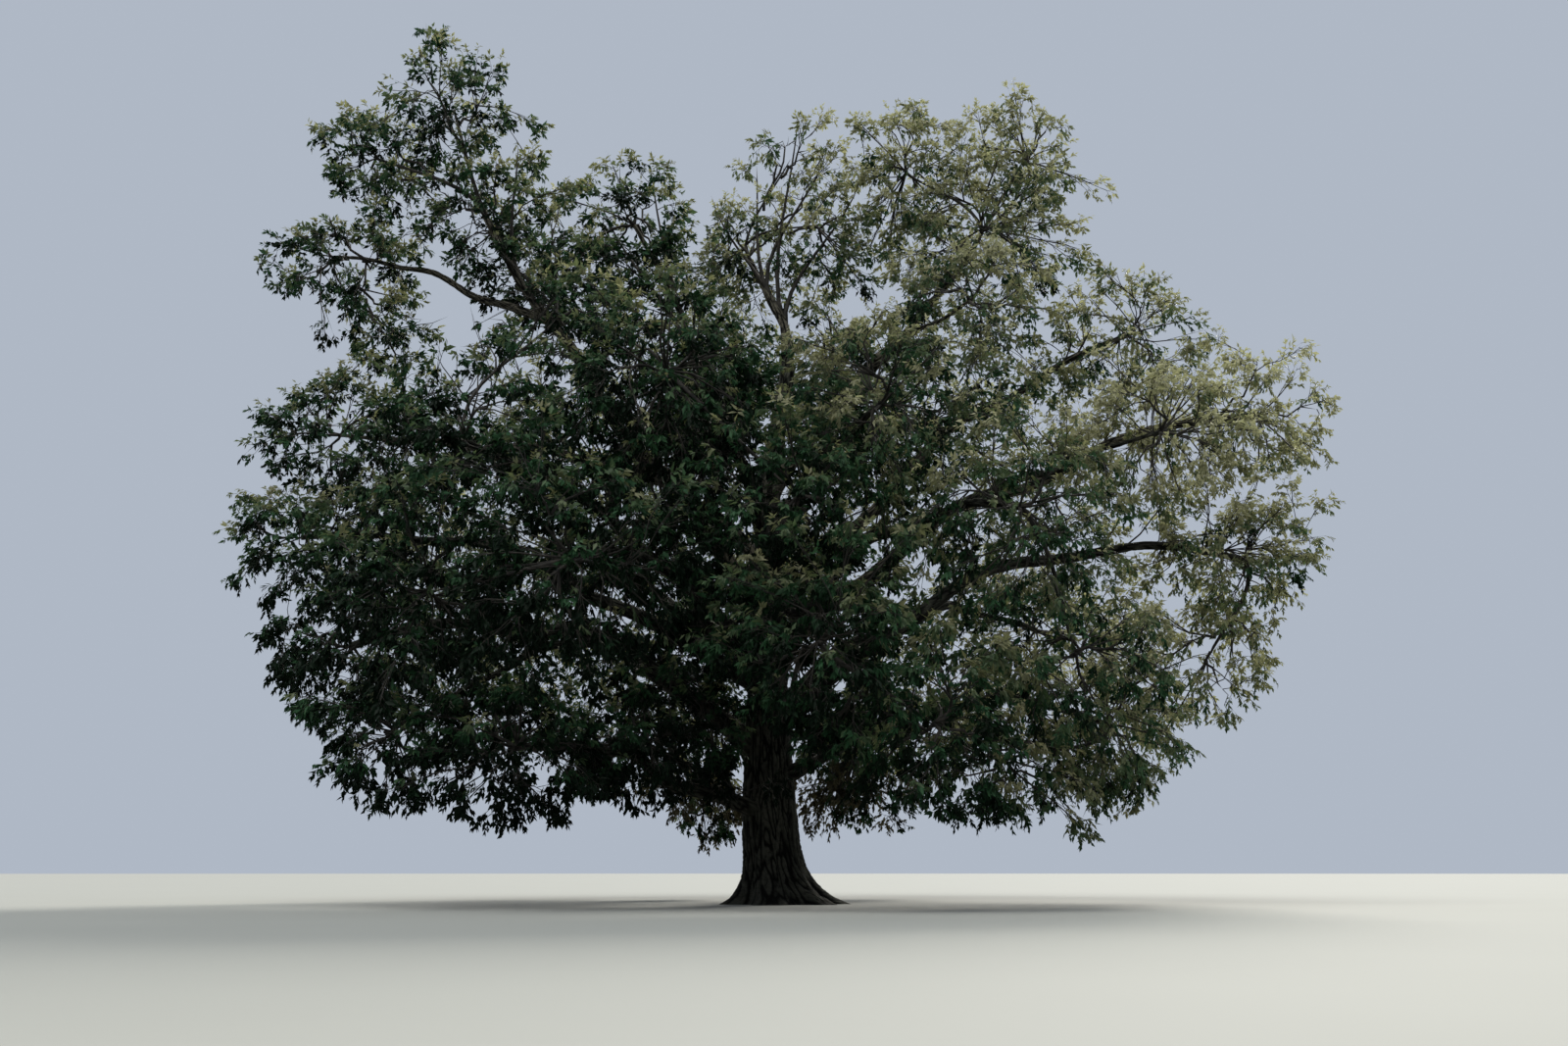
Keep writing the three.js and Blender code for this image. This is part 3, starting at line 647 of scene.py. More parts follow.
@functools.cache
def grow_limbs():
    """The centrelines of the trunk and boughs by name, and the share of each bough that is outside its
    mass."""
    lines = {"trunk": TrunkLine()}
    enters = {}
    for mass in MASSES:
        line = LimbLine(lines[mass.source].at(mass.along), mass, mass.index + LIMB_SEED)
        depths = lobe_depths(line.at(ENTRY_SHARES))[:, LOBE_OWNERS == mass.index].min(1)
        enters[mass.name] = ENTRY_SHARES[np.argmax(depths <= ENTERS_MASS)]
        lines[mass.name] = line
    return lines, enters


# Curved twigs, many at a time. Each is a row of points with a radius at each point.


def bent(start, start_way, end, end_way, steps, pull=0.35):
    """Rows of points along cubics that leave and arrive in given directions."""
    length = lift(np.linalg.norm(end - start, axis=-1))
    corners = np.stack([start, start + start_way * length * pull, end - end_way * length * pull, end], 1)
    return np.einsum("sc,nck->nsk", cubic_shares(np.linspace(0, 1, steps + 1)), corners)


def bent_row(start, start_way, end, end_way, steps):
    """One such row."""
    return bent(start[None], start_way[None], end[None], end_way[None], steps)[0]


def along_rows(rows, share):
    """The point at a share of each row's steps, and the direction of the row there."""
    steps = rows.shape[1] - 1
    place = np.clip(share, 0, JUST_SHORT) * steps
    step = place.astype(int)
    here = rows[np.arange(len(rows)), step]
    there = rows[np.arange(len(rows)), step + 1]
    return here + (there - here) * lift(place - step), unit(there - here)


def sideways(ways, rng):
    """A random direction square to each given one."""
    return unit(np.cross(ways, rng.normal(size=ways.shape)))


class Growth:
    """All that grows in the masses: rows of points and radii for the twigs, by kind, and the shoots that
    bear the leaves."""

    def __init__(self, settings):
        self.settings = settings
        self.rng = np.random.default_rng(settings.seed)
        self.stems = []
        self.samples = []
        self.clumps = []
        for mass in MASSES:
            self.grow_mass(mass)
        self.add_more_clumps()
        self.fill_corners()
        self.place_clumps()
        self.grow_branchlets()
        self.grow_shoots()

    def add_samples(self, points, radii, mass, k):
        """Keeps points of a limb that branches to the clumps of a mass's lobe can spring from."""
        ways = unit(np.gradient(points, axis=0))
        for point, way, radius in zip(points, ways, radii, strict=True):
            self.samples.append((mass.index, k, point, way, radius))

    def add_stem(self, points, foot, tip, mass, k):
        """Keeps a stem, leader or main twig that thins from its foot to its tip."""
        radii = np.linspace(foot, tip, len(points))
        self.stems.append((points, radii))
        self.add_samples(points, radii, mass, k)

    def grow_mass(self, mass):
        """A mass's stems, leaders and main twigs, and its clumps."""
        random = seeded(mass.index + TWIG_SEED)
        lines, enters = grow_limbs()
        line = lines[mass.name]
        start = enters[mass.name]
        hub = mass.lobes[0].middle
        stem = line.radius(1.0)
        shares = np.linspace(start, 1, BOUGH_SAMPLES)
        self.add_samples(line.at(shares), line.radius(shares), mass, 0)
        self.add_leaders(mass, line)
        for k, lobe in enumerate(mass.lobes):
            if k > 0:
                away = unit(lobe.middle - hub)
                first_way = unit(away + unit(hub - line.at(STEM_LEAVES_AT)) * STEM_KEEPS)
                rod = bent_row(hub, first_way, lobe.middle, away, STEM_STEPS)
                self.add_stem(rod, stem * STEM_FOOT, stem * STEM_TIP, mass, k)
            if not mass.open:
                for _ in range(CORE_DRAWS):
                    next(random)
            entry = line.at(start) if k == 0 else hub
            for root, tip, out in main_twigs(lobe, entry, mass, random):
                if share_kept(tip[None])[0] < 1:
                    continue
                first_way = unit(unit(lobe.middle - entry) + out)
                twig = bent_row(root, first_way, tip, out, TWIG_STEPS)
                twig[1:-1] += self.rng.normal(0, TWIG_WOBBLE, (TWIG_STEPS - 1, 3))
                self.add_stem(twig, TWIG_RADIUS, TWIG_RADIUS * TWIG_TIP, mass, k)
            self.spread_clumps(mass, k, lobe)
        self.line_bough(mass, line, start)

    def line_bough(self, mass, line, start):
        """Clumps on the outer part of a bough, before it enters its mass."""
        rng = self.rng
        low = mass.source == "trunk" and mass.along < LOW_BOUGH_ALONG
        first = LOW_BOUGH_CLUMPS_START if low else BOUGH_CLUMPS_START
        if mass.open:
            first = OPEN_BOUGH_CLUMPS_START
        shares = np.arange(first, start, BOUGH_CLUMP_STEP / line.reach)
        each = LOW_BOUGH_CLUMPS_EACH if low else BOUGH_CLUMPS_EACH
        farthest = LOW_BOUGH_CLUMP_OUT if low else BOUGH_CLUMP_OUT
        for share in shares:
            before, here = line.at(np.array([share - STEP_BACK, share]))
            point, way = line.at(share), unit(here - before)
            self.samples.append((mass.index, ON_BOUGH, point, way, line.radius(share)))
            side = unit(np.cross(way, UP))
            for hand in np.linspace(-1, 1, each):
                forward, rise = rng.uniform(*BOUGH_CLUMP_FORWARD), rng.uniform(*BOUGH_CLUMP_RISE)
                out = unit(side * hand + way * forward + UP * rise)
                middle = point + out * (line.radius(share) + rng.uniform(BOUGH_CLUMP_NEAREST, farthest))
                if middle[2] > LOWEST_BOUGH_CLUMP:
                    self.clumps.append((mass.index, ON_BOUGH, middle, out, False))

    def add_leaders(self, mass, line):
        """The thin upright stems that fork from a mass's bough."""
        for name, share, *tip in LEADERS:
            if name == mass.name:
                root, way = line.at(share), unit(line.at(share + STEP_ON) - line.at(share))
                upright = unit([*(tip - root)[:2] * LEADER_LEAN, 1])
                leader = bent_row(root, way, np.array(tip), upright, STEM_STEPS)
                self.add_stem(leader, LEADER_RADIUS, LEADER_RADIUS * LEADER_TIP, mass, 0)

    def add_more_clumps(self):
        """Clumps where the crown would be too thin."""
        names = [mass.name for mass in MASSES]
        for name, lobe, x, y, z, wide, deep, tall, count in MORE_CLUMPS:
            out = unit(self.rng.normal(size=(count, 3)))
            share = self.rng.uniform(MORE_CLUMPS_FREE, 1, count) ** (1 / 3)
            for way, middle in zip(out, (x, y, z) + out * lift(share) * (wide, deep, tall), strict=True):
                self.clumps.append((names.index(name), lobe, middle, way, False))

    def spread_clumps(self, mass, k, lobe):
        """Clumps of twigs, spread over a lobe by the same rule as its main twigs, but closer."""
        s, rng = self.settings, self.rng
        area = s.open_clump_area if mass.open else s.clump_area
        count = max(FEWEST_TWIGS, round(lobe.skin() / area))
        evenly = spread(count, rng.uniform(0, 2 * math.pi))
        out = unit(evenly + rng.normal(0, CLUMP_SCATTER, (count, 3)))
        skinward = out * lobe.half
        owners = np.full(count, mass.index)
        reach = reach_in_space(lobe.middle, skinward, owners, LEAST_REACH, 1.0)
        keeps = (reach > LEAST_REACH) & (rng.uniform(size=count) < mass.full)
        share = rng.uniform(*(OPEN_CLUMP_DEPTHS if mass.open else CLUMP_DEPTHS), count)
        middles = lobe.middle + skinward * lift(reach * share)
        for middle, way, kept in zip(middles, unit(out / lobe.half), keeps, strict=True):
            if kept:
                self.clumps.append((mass.index, k, middle, way, lobe.bare))

    def fill_corners(self):
        """Clumps in the corners between lobes, each on the mass that it is nearest to."""
        low = (LOBE_MIDDLES - LOBE_HALVES).min(0)
        high = (LOBE_MIDDLES + LOBE_HALVES).max(0)
        places = self.rng.uniform(low, high, (CORNER_TRIES, 3))
        full = np.array([mass.full for mass in MASSES])[LOBE_OWNERS]
        depths = lobe_depths(places)
        nearest = depths.argmin(1)
        owners = LOBE_OWNERS[nearest]
        depth, other, third = np.sort(depths, 1)[:, :3].T
        fits = (depth > CORNER_INNER) & (depth < CORNER_OUTER)
        fits &= (other < CORNER_NEIGHBOUR) & (third < CORNER_THIRD)
        fits &= self.rng.uniform(size=CORNER_TRIES) < full[nearest] ** 2
        kept = []
        for i in np.flatnonzero(fits):
            if not kept or np.linalg.norm(places[kept] - places[i], axis=1).min() > CORNER_SPACING:
                kept.append(i)
        for i in kept:
            lobe = nearest[i]
            out = unit(places[i] - LOBE_MIDDLES[lobe])
            first = np.flatnonzero(LOBE_OWNERS == owners[i])[0]
            self.clumps.append((owners[i], lobe - first, places[i], out, False))
        self.corner_start = len(self.clumps) - len(kept)

    def place_clumps(self):
        """Joins each clump to the limb that best serves it, by a branch that curves out to it."""
        s, rng = self.settings, self.rng
        owner, lobe_index, middle, out, bare = columns(self.clumps)
        count = len(owner)
        self.owner, self.lobe_index, self.middle, self.bare = owner, lobe_index, middle, bare
        self.droop = np.interp(middle[:, 2], DROOP_HEIGHTS, (s.low_droop, s.high_droop))
        self.out = unit(out - lift(self.droop * CLUMP_DROOP) * UP)
        self.size = s.clump_radius * rng.uniform(*CLUMP_SIZES, count) * np.where(bare, BARE_CLUMP_SIZE, 1)
        limb_owner, limb_lobe, limb_point, limb_way, limb_radius = columns(self.samples)
        start = np.empty((count, 3))
        way = np.empty((count, 3))
        radius = np.empty(count)
        for i in range(count):
            near = (limb_owner == owner[i]) & (limb_lobe == lobe_index[i])
            span = middle[i] - limb_point[near]
            length = np.linalg.norm(span, axis=1)
            turned = 1 - np.sum(unit(span) * limb_way[near], axis=1)
            best = np.argmin(length * (1 + s.straightness * turned))
            start[i], way[i] = limb_point[near][best], limb_way[near][best]
            own_radius = BRANCH_RADIUS + BRANCH_RADIUS_EACH_METRE * length[best]
            radius[i] = min(limb_radius[near][best] * BRANCH_OF_LIMB, own_radius)
        end = middle + self.out * lift(self.size * BRANCH_INTO_CLUMP)
        first_way = unit(way + unit(middle - start))
        self.branches = bent(start, first_way, end, self.out, BRANCH_STEPS)
        wobble = rng.normal(0, BRANCH_WOBBLE, self.branches.shape)
        wobble[:, [0, -1]] = 0
        self.branches += wobble
        self.branch_radii = lift(radius) * np.linspace(1, BRANCH_TIP, BRANCH_STEPS + 1)

    def grow_branchlets(self):
        """The twigs of each clump, by the same rule one step finer."""
        s, rng = self.settings, self.rng
        count, each = len(self.owner), s.branchlets
        directions = np.stack([spread(each, turn) for turn in rng.uniform(0, 2 * math.pi, count)])
        stray = rng.normal(0, BRANCHLET_SCATTER, directions.shape)
        directions = unit(directions + stray + self.out[:, None] * BRANCHLET_FORWARD)
        clump = np.repeat(np.arange(count), each)
        skinward = directions.reshape(-1, 3) * lift(self.size[clump]) * (1, 1, s.clump_flatness)
        owners, middle = self.owner[clump], self.middle[clump]
        drop = lift(self.droop[clump] * self.size[clump] * CLUMP_SAG) * UP
        limits = (LEAST_BRANCHLET, s.tip_reach, s.between_reach)
        reach = reach_in_space(middle - drop, skinward, owners, *limits)
        self.free = (self.lobe_index == ON_BOUGH) | (np.arange(count) >= self.corner_start)
        reach = np.where(self.free[clump], FREE_BRANCHLET, reach)
        keeps = (reach > LEAST_BRANCHLET) & ~self.near_limb(middle, BRANCHLET_ROOM)
        kept_here = share_kept(middle + skinward * BRANCHLET_MIDDLE) + OPENING_LEAVES
        keeps &= rng.uniform(size=len(clump)) < kept_here
        share = (np.tile(np.arange(each), count) * GOLDEN_SHARE) % 1
        root, way = along_rows(self.branches[clump], BRANCHLETS_START + (1 - BRANCHLETS_START) * share)
        tip = middle - drop + skinward * lift(reach * rng.uniform(*BRANCHLET_LENGTHS, len(clump)))
        end_way = unit(unit(tip - root) - lift(self.droop[clump] * BRANCHLET_DROOP) * UP)
        rows = bent(root, unit(way + unit(tip - root)), tip, end_way, BRANCHLET_STEPS)
        thinning = np.linspace(1, BRANCHLET_TIP, BRANCHLET_STEPS + 1)
        radius = lift(rng.uniform(*BRANCHLET_RADII, len(clump))) * thinning
        self.branchlets, self.branchlet_radii = rows[keeps], radius[keeps]
        self.branchlet_clump = clump[keeps]

    @staticmethod
    def near_limb(points, room):
        """True where a point lies in the trunk or a bough, or with less room to it than given."""
        lines, enters = grow_limbs()
        marks = []
        for name, line in lines.items():
            shares = np.linspace(0, enters.get(name, 1), LIMB_MARKS)
            marks += list(zip(line.at(shares), line.radius(shares), strict=True))
        tree = kdtree.KDTree(len(marks))
        for i, (point, _) in enumerate(marks):
            tree.insert(point, i)
        tree.balance()
        found = [tree.find(point) for point in points]
        return np.array([distance < marks[i][1] + room for _, i, distance in found])

    def grow_shoots(self):
        """The leafy shoots on each twig: some to its sides, and the last going on from its tip."""
        s, rng = self.settings, self.rng
        alive = np.flatnonzero(~self.bare[self.branchlet_clump])
        each = s.shoots
        twig = np.repeat(alive, each)
        place = np.tile(np.arange(each), len(alive))
        is_tip = place == each - 1
        uneven = place + rng.uniform(0, SHOOT_STRAY, len(twig))
        share = np.where(is_tip, TIP_SHOOT_AT, SIDE_SHOOTS_START + SIDE_SHOOTS_OVER * uneven / (each - 1))
        root, way = along_rows(self.branchlets[twig], share)
        angle = np.radians(np.where(is_tip, TIP_SHOOT_ANGLE, rng.uniform(*SIDE_SHOOT_ANGLES, len(twig))))
        side = sideways(way, rng)
        clump = self.branchlet_clump[twig]
        droop = self.droop[clump] * rng.uniform(*DROOP_SPREAD, len(twig))
        heading = unit(way * lift(np.cos(angle)) + side * lift(np.sin(angle)) - lift(droop) * UP)
        length = s.shoot_length * rng.uniform(*LENGTH_SPREAD, len(twig))
        length *= FOOT_SHOOT - SHOOTS_SHORTEN * share
        tip = root + heading * lift(length)
        inside = in_space(tip, self.owner[clump], s.tip_reach, s.between_reach)
        keeps = (inside | self.free[clump]) & (rng.uniform(size=len(twig)) < share_kept(tip))
        keeps &= ~self.near_limb(root, SHOOT_ROOM)
        self.shoot_root, self.shoot_tip = root[keeps], tip[keeps]
        self.shoot_clump = clump[keeps]
        self.shoot_way = heading[keeps]
        self.shoot_owner = self.owner[self.shoot_clump]
        self.shoot_kind = self.deal_kinds()

    def in_clump(self, points, clump):
        """Where points lie in their clumps, as shares of each clump's half size."""
        span = points - self.middle[clump]
        return span / (lift(self.size[clump]) * (1, 1, self.settings.clump_flatness))

    def deal_kinds(self):
        """The leaf colour of each shoot, which paints in its sun and shade: lighter the more sunlit its
        mass is, more so at the skin and the top of its lobe and its clump, with each clump a little apart
        from the next.
        Leaves in the sun are smaller."""
        s, rng = self.settings, self.rng
        owner, clump = self.shoot_owner, self.shoot_clump
        sun = np.array([mass.sun for mass in MASSES])[owner]
        x, y, height = self.shoot_tip.T
        sheltered = np.interp(np.hypot(x, y), SHADED_WITHIN, (MIDDLE_SUN, 1))
        sun = sun * np.maximum(sheltered, np.interp(height, SHADE_ENDS, (0, 1)))
        depths = lobe_depths(self.shoot_tip)
        depths = np.where(LOBE_OWNERS == owner[:, None], depths, np.inf)
        lobe = depths.argmin(1)
        depth = np.minimum(depths.min(1), 1)
        rise = np.clip((self.shoot_tip - LOBE_MIDDLES[lobe])[:, 2] / LOBE_HALVES[lobe, 2], -1, 1)
        place = self.in_clump(self.shoot_tip, clump)
        outward = np.minimum(np.linalg.norm(place, axis=1), MOST_CLUMP_DEPTH)
        patches = np.where(sun > SUNLIT_MASS, SUNLIT_PATCHES, SHADE_PATCHES)
        patch = rng.normal(0, 1, len(self.owner))[clump] * patches
        # The score paints in sun and shade, from 0 in deep shade to 1 in full sun.
        score = sun + SUN_BY_DEPTH * (depth - USUAL_DEPTH) + SUN_BY_RISE * rise
        score += SUN_BY_CLUMP_RISE * place[:, 2]
        score += SUN_BY_CLUMP_DEPTH * (outward - USUAL_CLUMP_DEPTH)
        score += patch
        score += rng.normal(0, SHOOT_PATCHES, len(owner))
        self.shoot_fine = np.interp(sun, SMALLER_LEAVES, (1, s.sun_leaf))
        score = np.clip(score, 0, 1)
        # Each shoot's kind and its place between that kind's start and the next paint in its sun and shade.
        kind = np.searchsorted(KIND_STARTS, score, side="right") - 1
        starts = np.array([*KIND_STARTS, 1.0])
        self.shoot_painted_sun = (score - starts[kind]) / (starts[kind + 1] - starts[kind])
        turns = np.array([mass.name in BRONZE_MASSES for mass in MASSES])[self.owner]
        turns &= (self.middle[:, 2] < BRONZE_BELOW) & (rng.uniform(size=len(turns)) < BRONZE_SHARE)
        return np.where(turns[clump], KINDS.index("bronze"), kind)


@functools.cache
def grown_by(values):
    """The crown's growth by some settings, worked out once for the twigs and the leaves."""
    return Growth(types.SimpleNamespace(**dict(values)))


def grown(settings):
    """The crown's growth by the settings in the scene."""
    return grown_by(tuple((name, getattr(settings, name)) for name in OAK_PG_twigs.__annotations__))


# Meshes.


def finish_piece(name, mesh, material, nodes):
    """Puts a mesh in the scene as a piece of the tree that replaces nodes of the solid model."""
    mesh.materials.append(material)
    piece = bpy.data.objects.new(name, mesh)
    bpy.context.scene.collection.objects.link(piece)
    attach(piece, "root")
    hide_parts(*nodes)


def part_names(name, triangles):
    """The names of the pieces that so many triangles are dealt to: one, or more with a number each."""
    parts = math.ceil(triangles / MOST_TRIANGLES)
    return [name] if parts == 1 else [f"{name}_{i + 1}" for i in range(parts)]


def joined_mesh(name, points, faces):
    """A mesh of many small things, from an array of points and arrays of faces."""
    mesh = bpy.data.meshes.new(name)
    mesh.vertices.add(len(points))
    mesh.vertices.foreach_set("co", np.ascontiguousarray(points, np.float32).ravel())
    corners = np.concatenate([rows.ravel() for rows in faces])
    sizes = np.concatenate([np.full(len(rows), rows.shape[1]) for rows in faces])
    mesh.loops.add(len(corners))
    mesh.loops.foreach_set("vertex_index", corners.astype(np.int32))
    mesh.polygons.add(len(sizes))
    mesh.polygons.foreach_set("loop_start", np.concatenate([[0], np.cumsum(sizes)[:-1]]).astype(np.int32))
    mesh.update(calc_edges=True)
    return mesh


def tube_arrays(rows, radii, sides):
    """The points and faces of round twigs along rows of points, each closed at its root and pointed at its
    tip."""
    count, rings = rows.shape[0], rows.shape[1] - 1
    ways = unit(np.gradient(rows, axis=1))
    first = sideways(ways[:, 0], np.random.default_rng(1))[:, None]
    side = unit(first - ways * np.sum(first * ways, axis=-1, keepdims=True))
    other = np.cross(ways, side)
    turn = np.arange(sides) * 2 * math.pi / sides
    wheel = side[:, :, None] * np.cos(turn)[:, None] + other[:, :, None] * np.sin(turn)[:, None]
    round_points = rows[:, :-1, None] + wheel[:, :-1] * radii[:, :-1, None, None]
    points = np.concatenate([round_points.reshape(count, -1, 3), rows[:, -1:]], 1)
    ring = np.arange(sides)
    after = (ring + 1) % sides
    walls = [
        np.stack([k * sides + ring, k * sides + after, (k + 1) * sides + after, (k + 1) * sides + ring], -1)
        for k in range(rings - 1)
    ]
    last = (rings - 1) * sides
    tips = np.stack([last + ring, last + after, np.full(sides, rings * sides)], -1)
    root = ring[::-1][None]
    starts = (np.arange(count) * (rings * sides + 1))[:, None, None]
    faces = [(part + starts).reshape(-1, part.shape[-1]) for part in (*walls, tips, root)]
    return points.reshape(-1, 3), faces


def leaf_arrays(root, way, face, length, width):
    """The points and faces of many leaves. Each is a slim lance of two halves that fold along its rib."""
    side = unit(np.cross(way, face))
    face = np.cross(side, way)
    points = []
    for along, half in LEAF_CORNERS:
        rise = LEAF_FOLD * abs(half) * lift(width) / 2 - LEAF_CURL * along**2 * lift(length)
        out = half * lift(width) / 2
        points.append(root + way * lift(length) * along + side * out + face * rise)
    starts = np.arange(len(root))[:, None, None] * len(LEAF_CORNERS)
    return np.stack(points, 1), (starts + LEAF_HALVES).reshape(-1, 3)


def add_values(mesh, name, values):
    """Keeps a value at each point of a mesh, for its material."""
    attribute = mesh.attributes.new(name, "FLOAT", "POINT")
    attribute.data.foreach_set("value", values.astype(np.float32))


def lay_out_leaves(mesh, count):
    """A UV map in which each leaf has a cell of its own."""
    cells = math.ceil(math.sqrt(count))
    cell = np.arange(count)
    corner = np.stack([cell % cells, cell // cells], -1) / cells
    outline = np.array([(along, 0.5 + half * CELL_HALF) for along, half in LEAF_CORNERS])
    places = corner[:, None] + (CELL_MARGIN + (1 - 2 * CELL_MARGIN) * outline) / cells
    vertex = np.empty(len(mesh.loops), np.int32)
    mesh.loops.foreach_get("vertex_index", vertex)
    layer = mesh.uv_layers.new(name="OFBake")
    layer.uv.foreach_set("vector", places.reshape(-1, 2)[vertex].astype(np.float32).ravel())


# Bark.


def ridges(spot, sharpness):
    """How high the noise stands at a spot, from 0 in a furrow to 1 on a ridge."""
    return min(1.0, abs(noise.noise(spot)) * sharpness)


def ridge_height(place, spacing):
    """How far bark stands out, from 0 in a furrow to 1 on a ridge, at a place on a limb along z. The
    furrows wander, fork and close. Finer ones split the ridges, and short cracks cross them."""
    spot = Vector((place.x, place.y, place.z * FURROW_STRETCH)) / spacing
    spot += noise.noise_vector(spot * WANDER_SCALE) * WANDER
    broad = ridges(spot, BROAD_SHARPNESS)
    fine = ridges(spot * FINE_SCALE + FINE_PLACE, FINE_SHARPNESS)
    across = Vector((place.x * CRACK_STRETCH, place.y * CRACK_STRETCH, place.z)) / spacing
    cracks = ridges(across + CRACK_PLACE, CRACK_SHARPNESS)
    height = broad * (1 - FINE_SHARE + FINE_SHARE * fine) * (1 - CRACK_SHARE + CRACK_SHARE * cracks)
    return max(0.0, min(1.0, height + noise.noise(place / spacing * GRAIN_SCALE) * GRAIN))


def bark_tube(name, place_at, rings, sides, spacing, depth):
    """A closed tube of bark: a grid that is rolled round a limb. place_at gives, for the shares round and
    along it, the point of the smooth limb, the way out, and its thickness and distance along in metres."""
    noise.seed_set(BARK_SEED)
    bm = bmesh.new()
    bm.loops.layers.uv.new("OFBake")
    bmesh.ops.create_grid(bm, x_segments=sides, y_segments=rings, size=1, calc_uvs=True)
    relief = bm.verts.layers.float.new("relief")
    spot = bm.verts.layers.float_vector.new("bark_spot")
    for vert in bm.verts:
        turn_share, along_share = (vert.co.x + 1) / 2, (vert.co.y + 1) / 2
        point, out, thick, along = place_at(turn_share, along_share)
        turn = turn_share * 2 * math.pi
        across, beside = math.cos(turn) * thick, math.sin(turn) * thick
        height = ridge_height(Vector((across, beside, along)), spacing)
        vert[relief] = height
        vert[spot] = (across, beside, along * COLOUR_STRETCH)
        vert.co = point + out * (height - SMOOTH_HEIGHT) * depth
    bmesh.ops.remove_doubles(bm, verts=bm.verts, dist=SEAM)
    bmesh.ops.holes_fill(bm, edges=[edge for edge in bm.edges if edge.is_boundary], sides=0)
    bmesh.ops.recalc_face_normals(bm, faces=bm.faces)
    mesh = bpy.data.meshes.new(name)
    bm.to_mesh(mesh)
    bm.free()
    mesh.shade_smooth()
    return mesh


def trunk_place(settings):
    """A function that gives places on the smooth trunk, with the solid model's flare."""
    line = TrunkLine()

    def place_at(turn_share, along_share):
        t = along_share**settings.trunk_rings_crowd
        turn = turn_share * 2 * math.pi
        height = t * TRUNK_HEIGHT
        root = 1 + ROOT_DEPTH * math.cos(ROOTS * turn + math.sin(turn * 2))
        flare = FLARE_REACH * root * math.exp(-height / FLARE_FALLS_IN)
        radius = line.radius(t) + flare
        out = Vector((math.cos(turn), -math.sin(turn), 0))
        return Vector(line.at(t)) + out * radius, out, line.radius(t), height

    return place_at


def limb_place(line):
    """A function that gives places on a smooth bough, from its root to the middle of its mass."""
    shares = np.linspace(0, 1, BOUGH_MARKS)
    centres = line.at(shares)
    ways = unit(np.gradient(centres, axis=0))
    lengths = np.concatenate([[0], np.cumsum(np.linalg.norm(np.diff(centres, axis=0), axis=1))])
    first = unit(np.cross(ways[0], NEARLY_UP))
    sides = unit(first - ways * (ways @ first)[:, None])
    others = np.cross(ways, sides)
    radii = line.radius(shares)

    def place_at(turn_share, along_share):
        step = along_share * (len(shares) - 1)
        turn = turn_share * 2 * math.pi
        low = min(int(step), len(shares) - 2)
        part = step - low

        def between(values):
            """The value between two of the places along the bough."""
            return values[low] + (values[low + 1] - values[low]) * part

        out = Vector(between(sides)) * math.cos(turn) + Vector(between(others)) * math.sin(turn)
        radius = float(between(radii))
        return Vector(between(centres)) + out * radius, out, radius, float(between(lengths))

    return place_at


# Materials.


class Shading:
    """A material in the making, with short ways to add nodes to it."""

    def __init__(self, name):
        self.material = bpy.data.materials.new(name)
        self.material.use_nodes = True
        self.tree = self.material.node_tree
        self.surface = self.tree.nodes["Principled BSDF"]

    def feed(self, node, *first, **named):
        """Gives a node its settings, and its sockets their values or the outputs that feed them: the first
        sockets in order, and the others by name, with _ for a space."""
        sockets = list(zip(node.inputs, first, strict=False))
        for name, value in named.items():
            if hasattr(node, name):
                setattr(node, name, value)
            else:
                sockets.append((node.inputs[name.replace("_", " ")], value))
        for socket, value in sockets:
            if isinstance(value, bpy.types.NodeSocket):
                self.tree.links.new(value, socket)
            else:
                socket.default_value = value

    def add(self, kind, output, *first, **named):
        """Adds a node, fed in the same way, and gives one of its outputs."""
        node = self.tree.nodes.new(f"ShaderNode{kind}")
        self.feed(node, *first, **named)
        return node.outputs[output]

    def ramp(self, share, *stops):
        """A colour that changes with a share, from the place and the colour of each stop."""
        node = self.tree.nodes.new("ShaderNodeValToRGB")
        elements = node.color_ramp.elements
        for place, _ in stops[1:-1]:
            elements.new(place)
        for element, (place, colour) in zip(elements, stops, strict=True):
            element.position = place
            element.color = (*colour, 1)
        self.feed(node, share)
        return node.outputs["Color"]

    def multiply(self, share, colour, tint):
        """A colour that takes on a share of a tint."""
        mix = {"data_type": "RGBA", "blend_type": "MULTIPLY"}
        return self.add("Mix", "Result", **mix, Factor=share, A=colour, B=tint)


def bark_material(name, settings, ridge_colour, scale):
    """Furrowed bark: dark in the furrows, paler on the ridges, mottled, with fine cracks as bump."""
    shading = Shading(name)
    add = shading.add
    relief = add("Attribute", "Fac", attribute_name="relief")
    spot = add("Attribute", "Vector", attribute_name="bark_spot")
    mottle = add("TexNoise", "Fac", Vector=spot, Scale=3.0 * scale, Detail=6.0, Roughness=0.65)
    furrows = shading.ramp(relief, (0.2, settings.furrow_colour), (0.85, ridge_colour))
    shades = shading.ramp(mottle, (0.3, (0.35, 0.38, 0.33)), (0.7, (1.5, 1.45, 1.3)))
    rough = add("MapRange", "Result", Value=mottle, To_Min=0.8, To_Max=0.97)
    cracks = add("TexVoronoi", "Distance", feature="DISTANCE_TO_EDGE", Vector=spot, Scale=14.0 * scale)
    fine = add("TexNoise", "Fac", Vector=spot, Scale=34.0 * scale, Detail=5.0, Roughness=0.7)
    height = add("Math", "Value", fine, 0.6, cracks, operation="MULTIPLY_ADD")
    bump = add("Bump", "Normal", Strength=1.0, Distance=0.05, Height=height)
    colour = shading.multiply(0.7, furrows, shades)
    shading.feed(shading.surface, Base_Color=colour, Roughness=rough, Specular_IOR_Level=0.1, Normal=bump)
    return shading.material


def mottled_material(name, scale, detail, stops, **surface):
    """Two colours, mottled by a noise."""
    shading = Shading(name)
    place = shading.add("TexCoord", "Object")
    mottle = shading.add("TexNoise", "Fac", Vector=place, Scale=scale, Detail=detail)
    shading.feed(shading.surface, Base_Color=shading.ramp(mottle, *stops), **surface)
    return shading.material


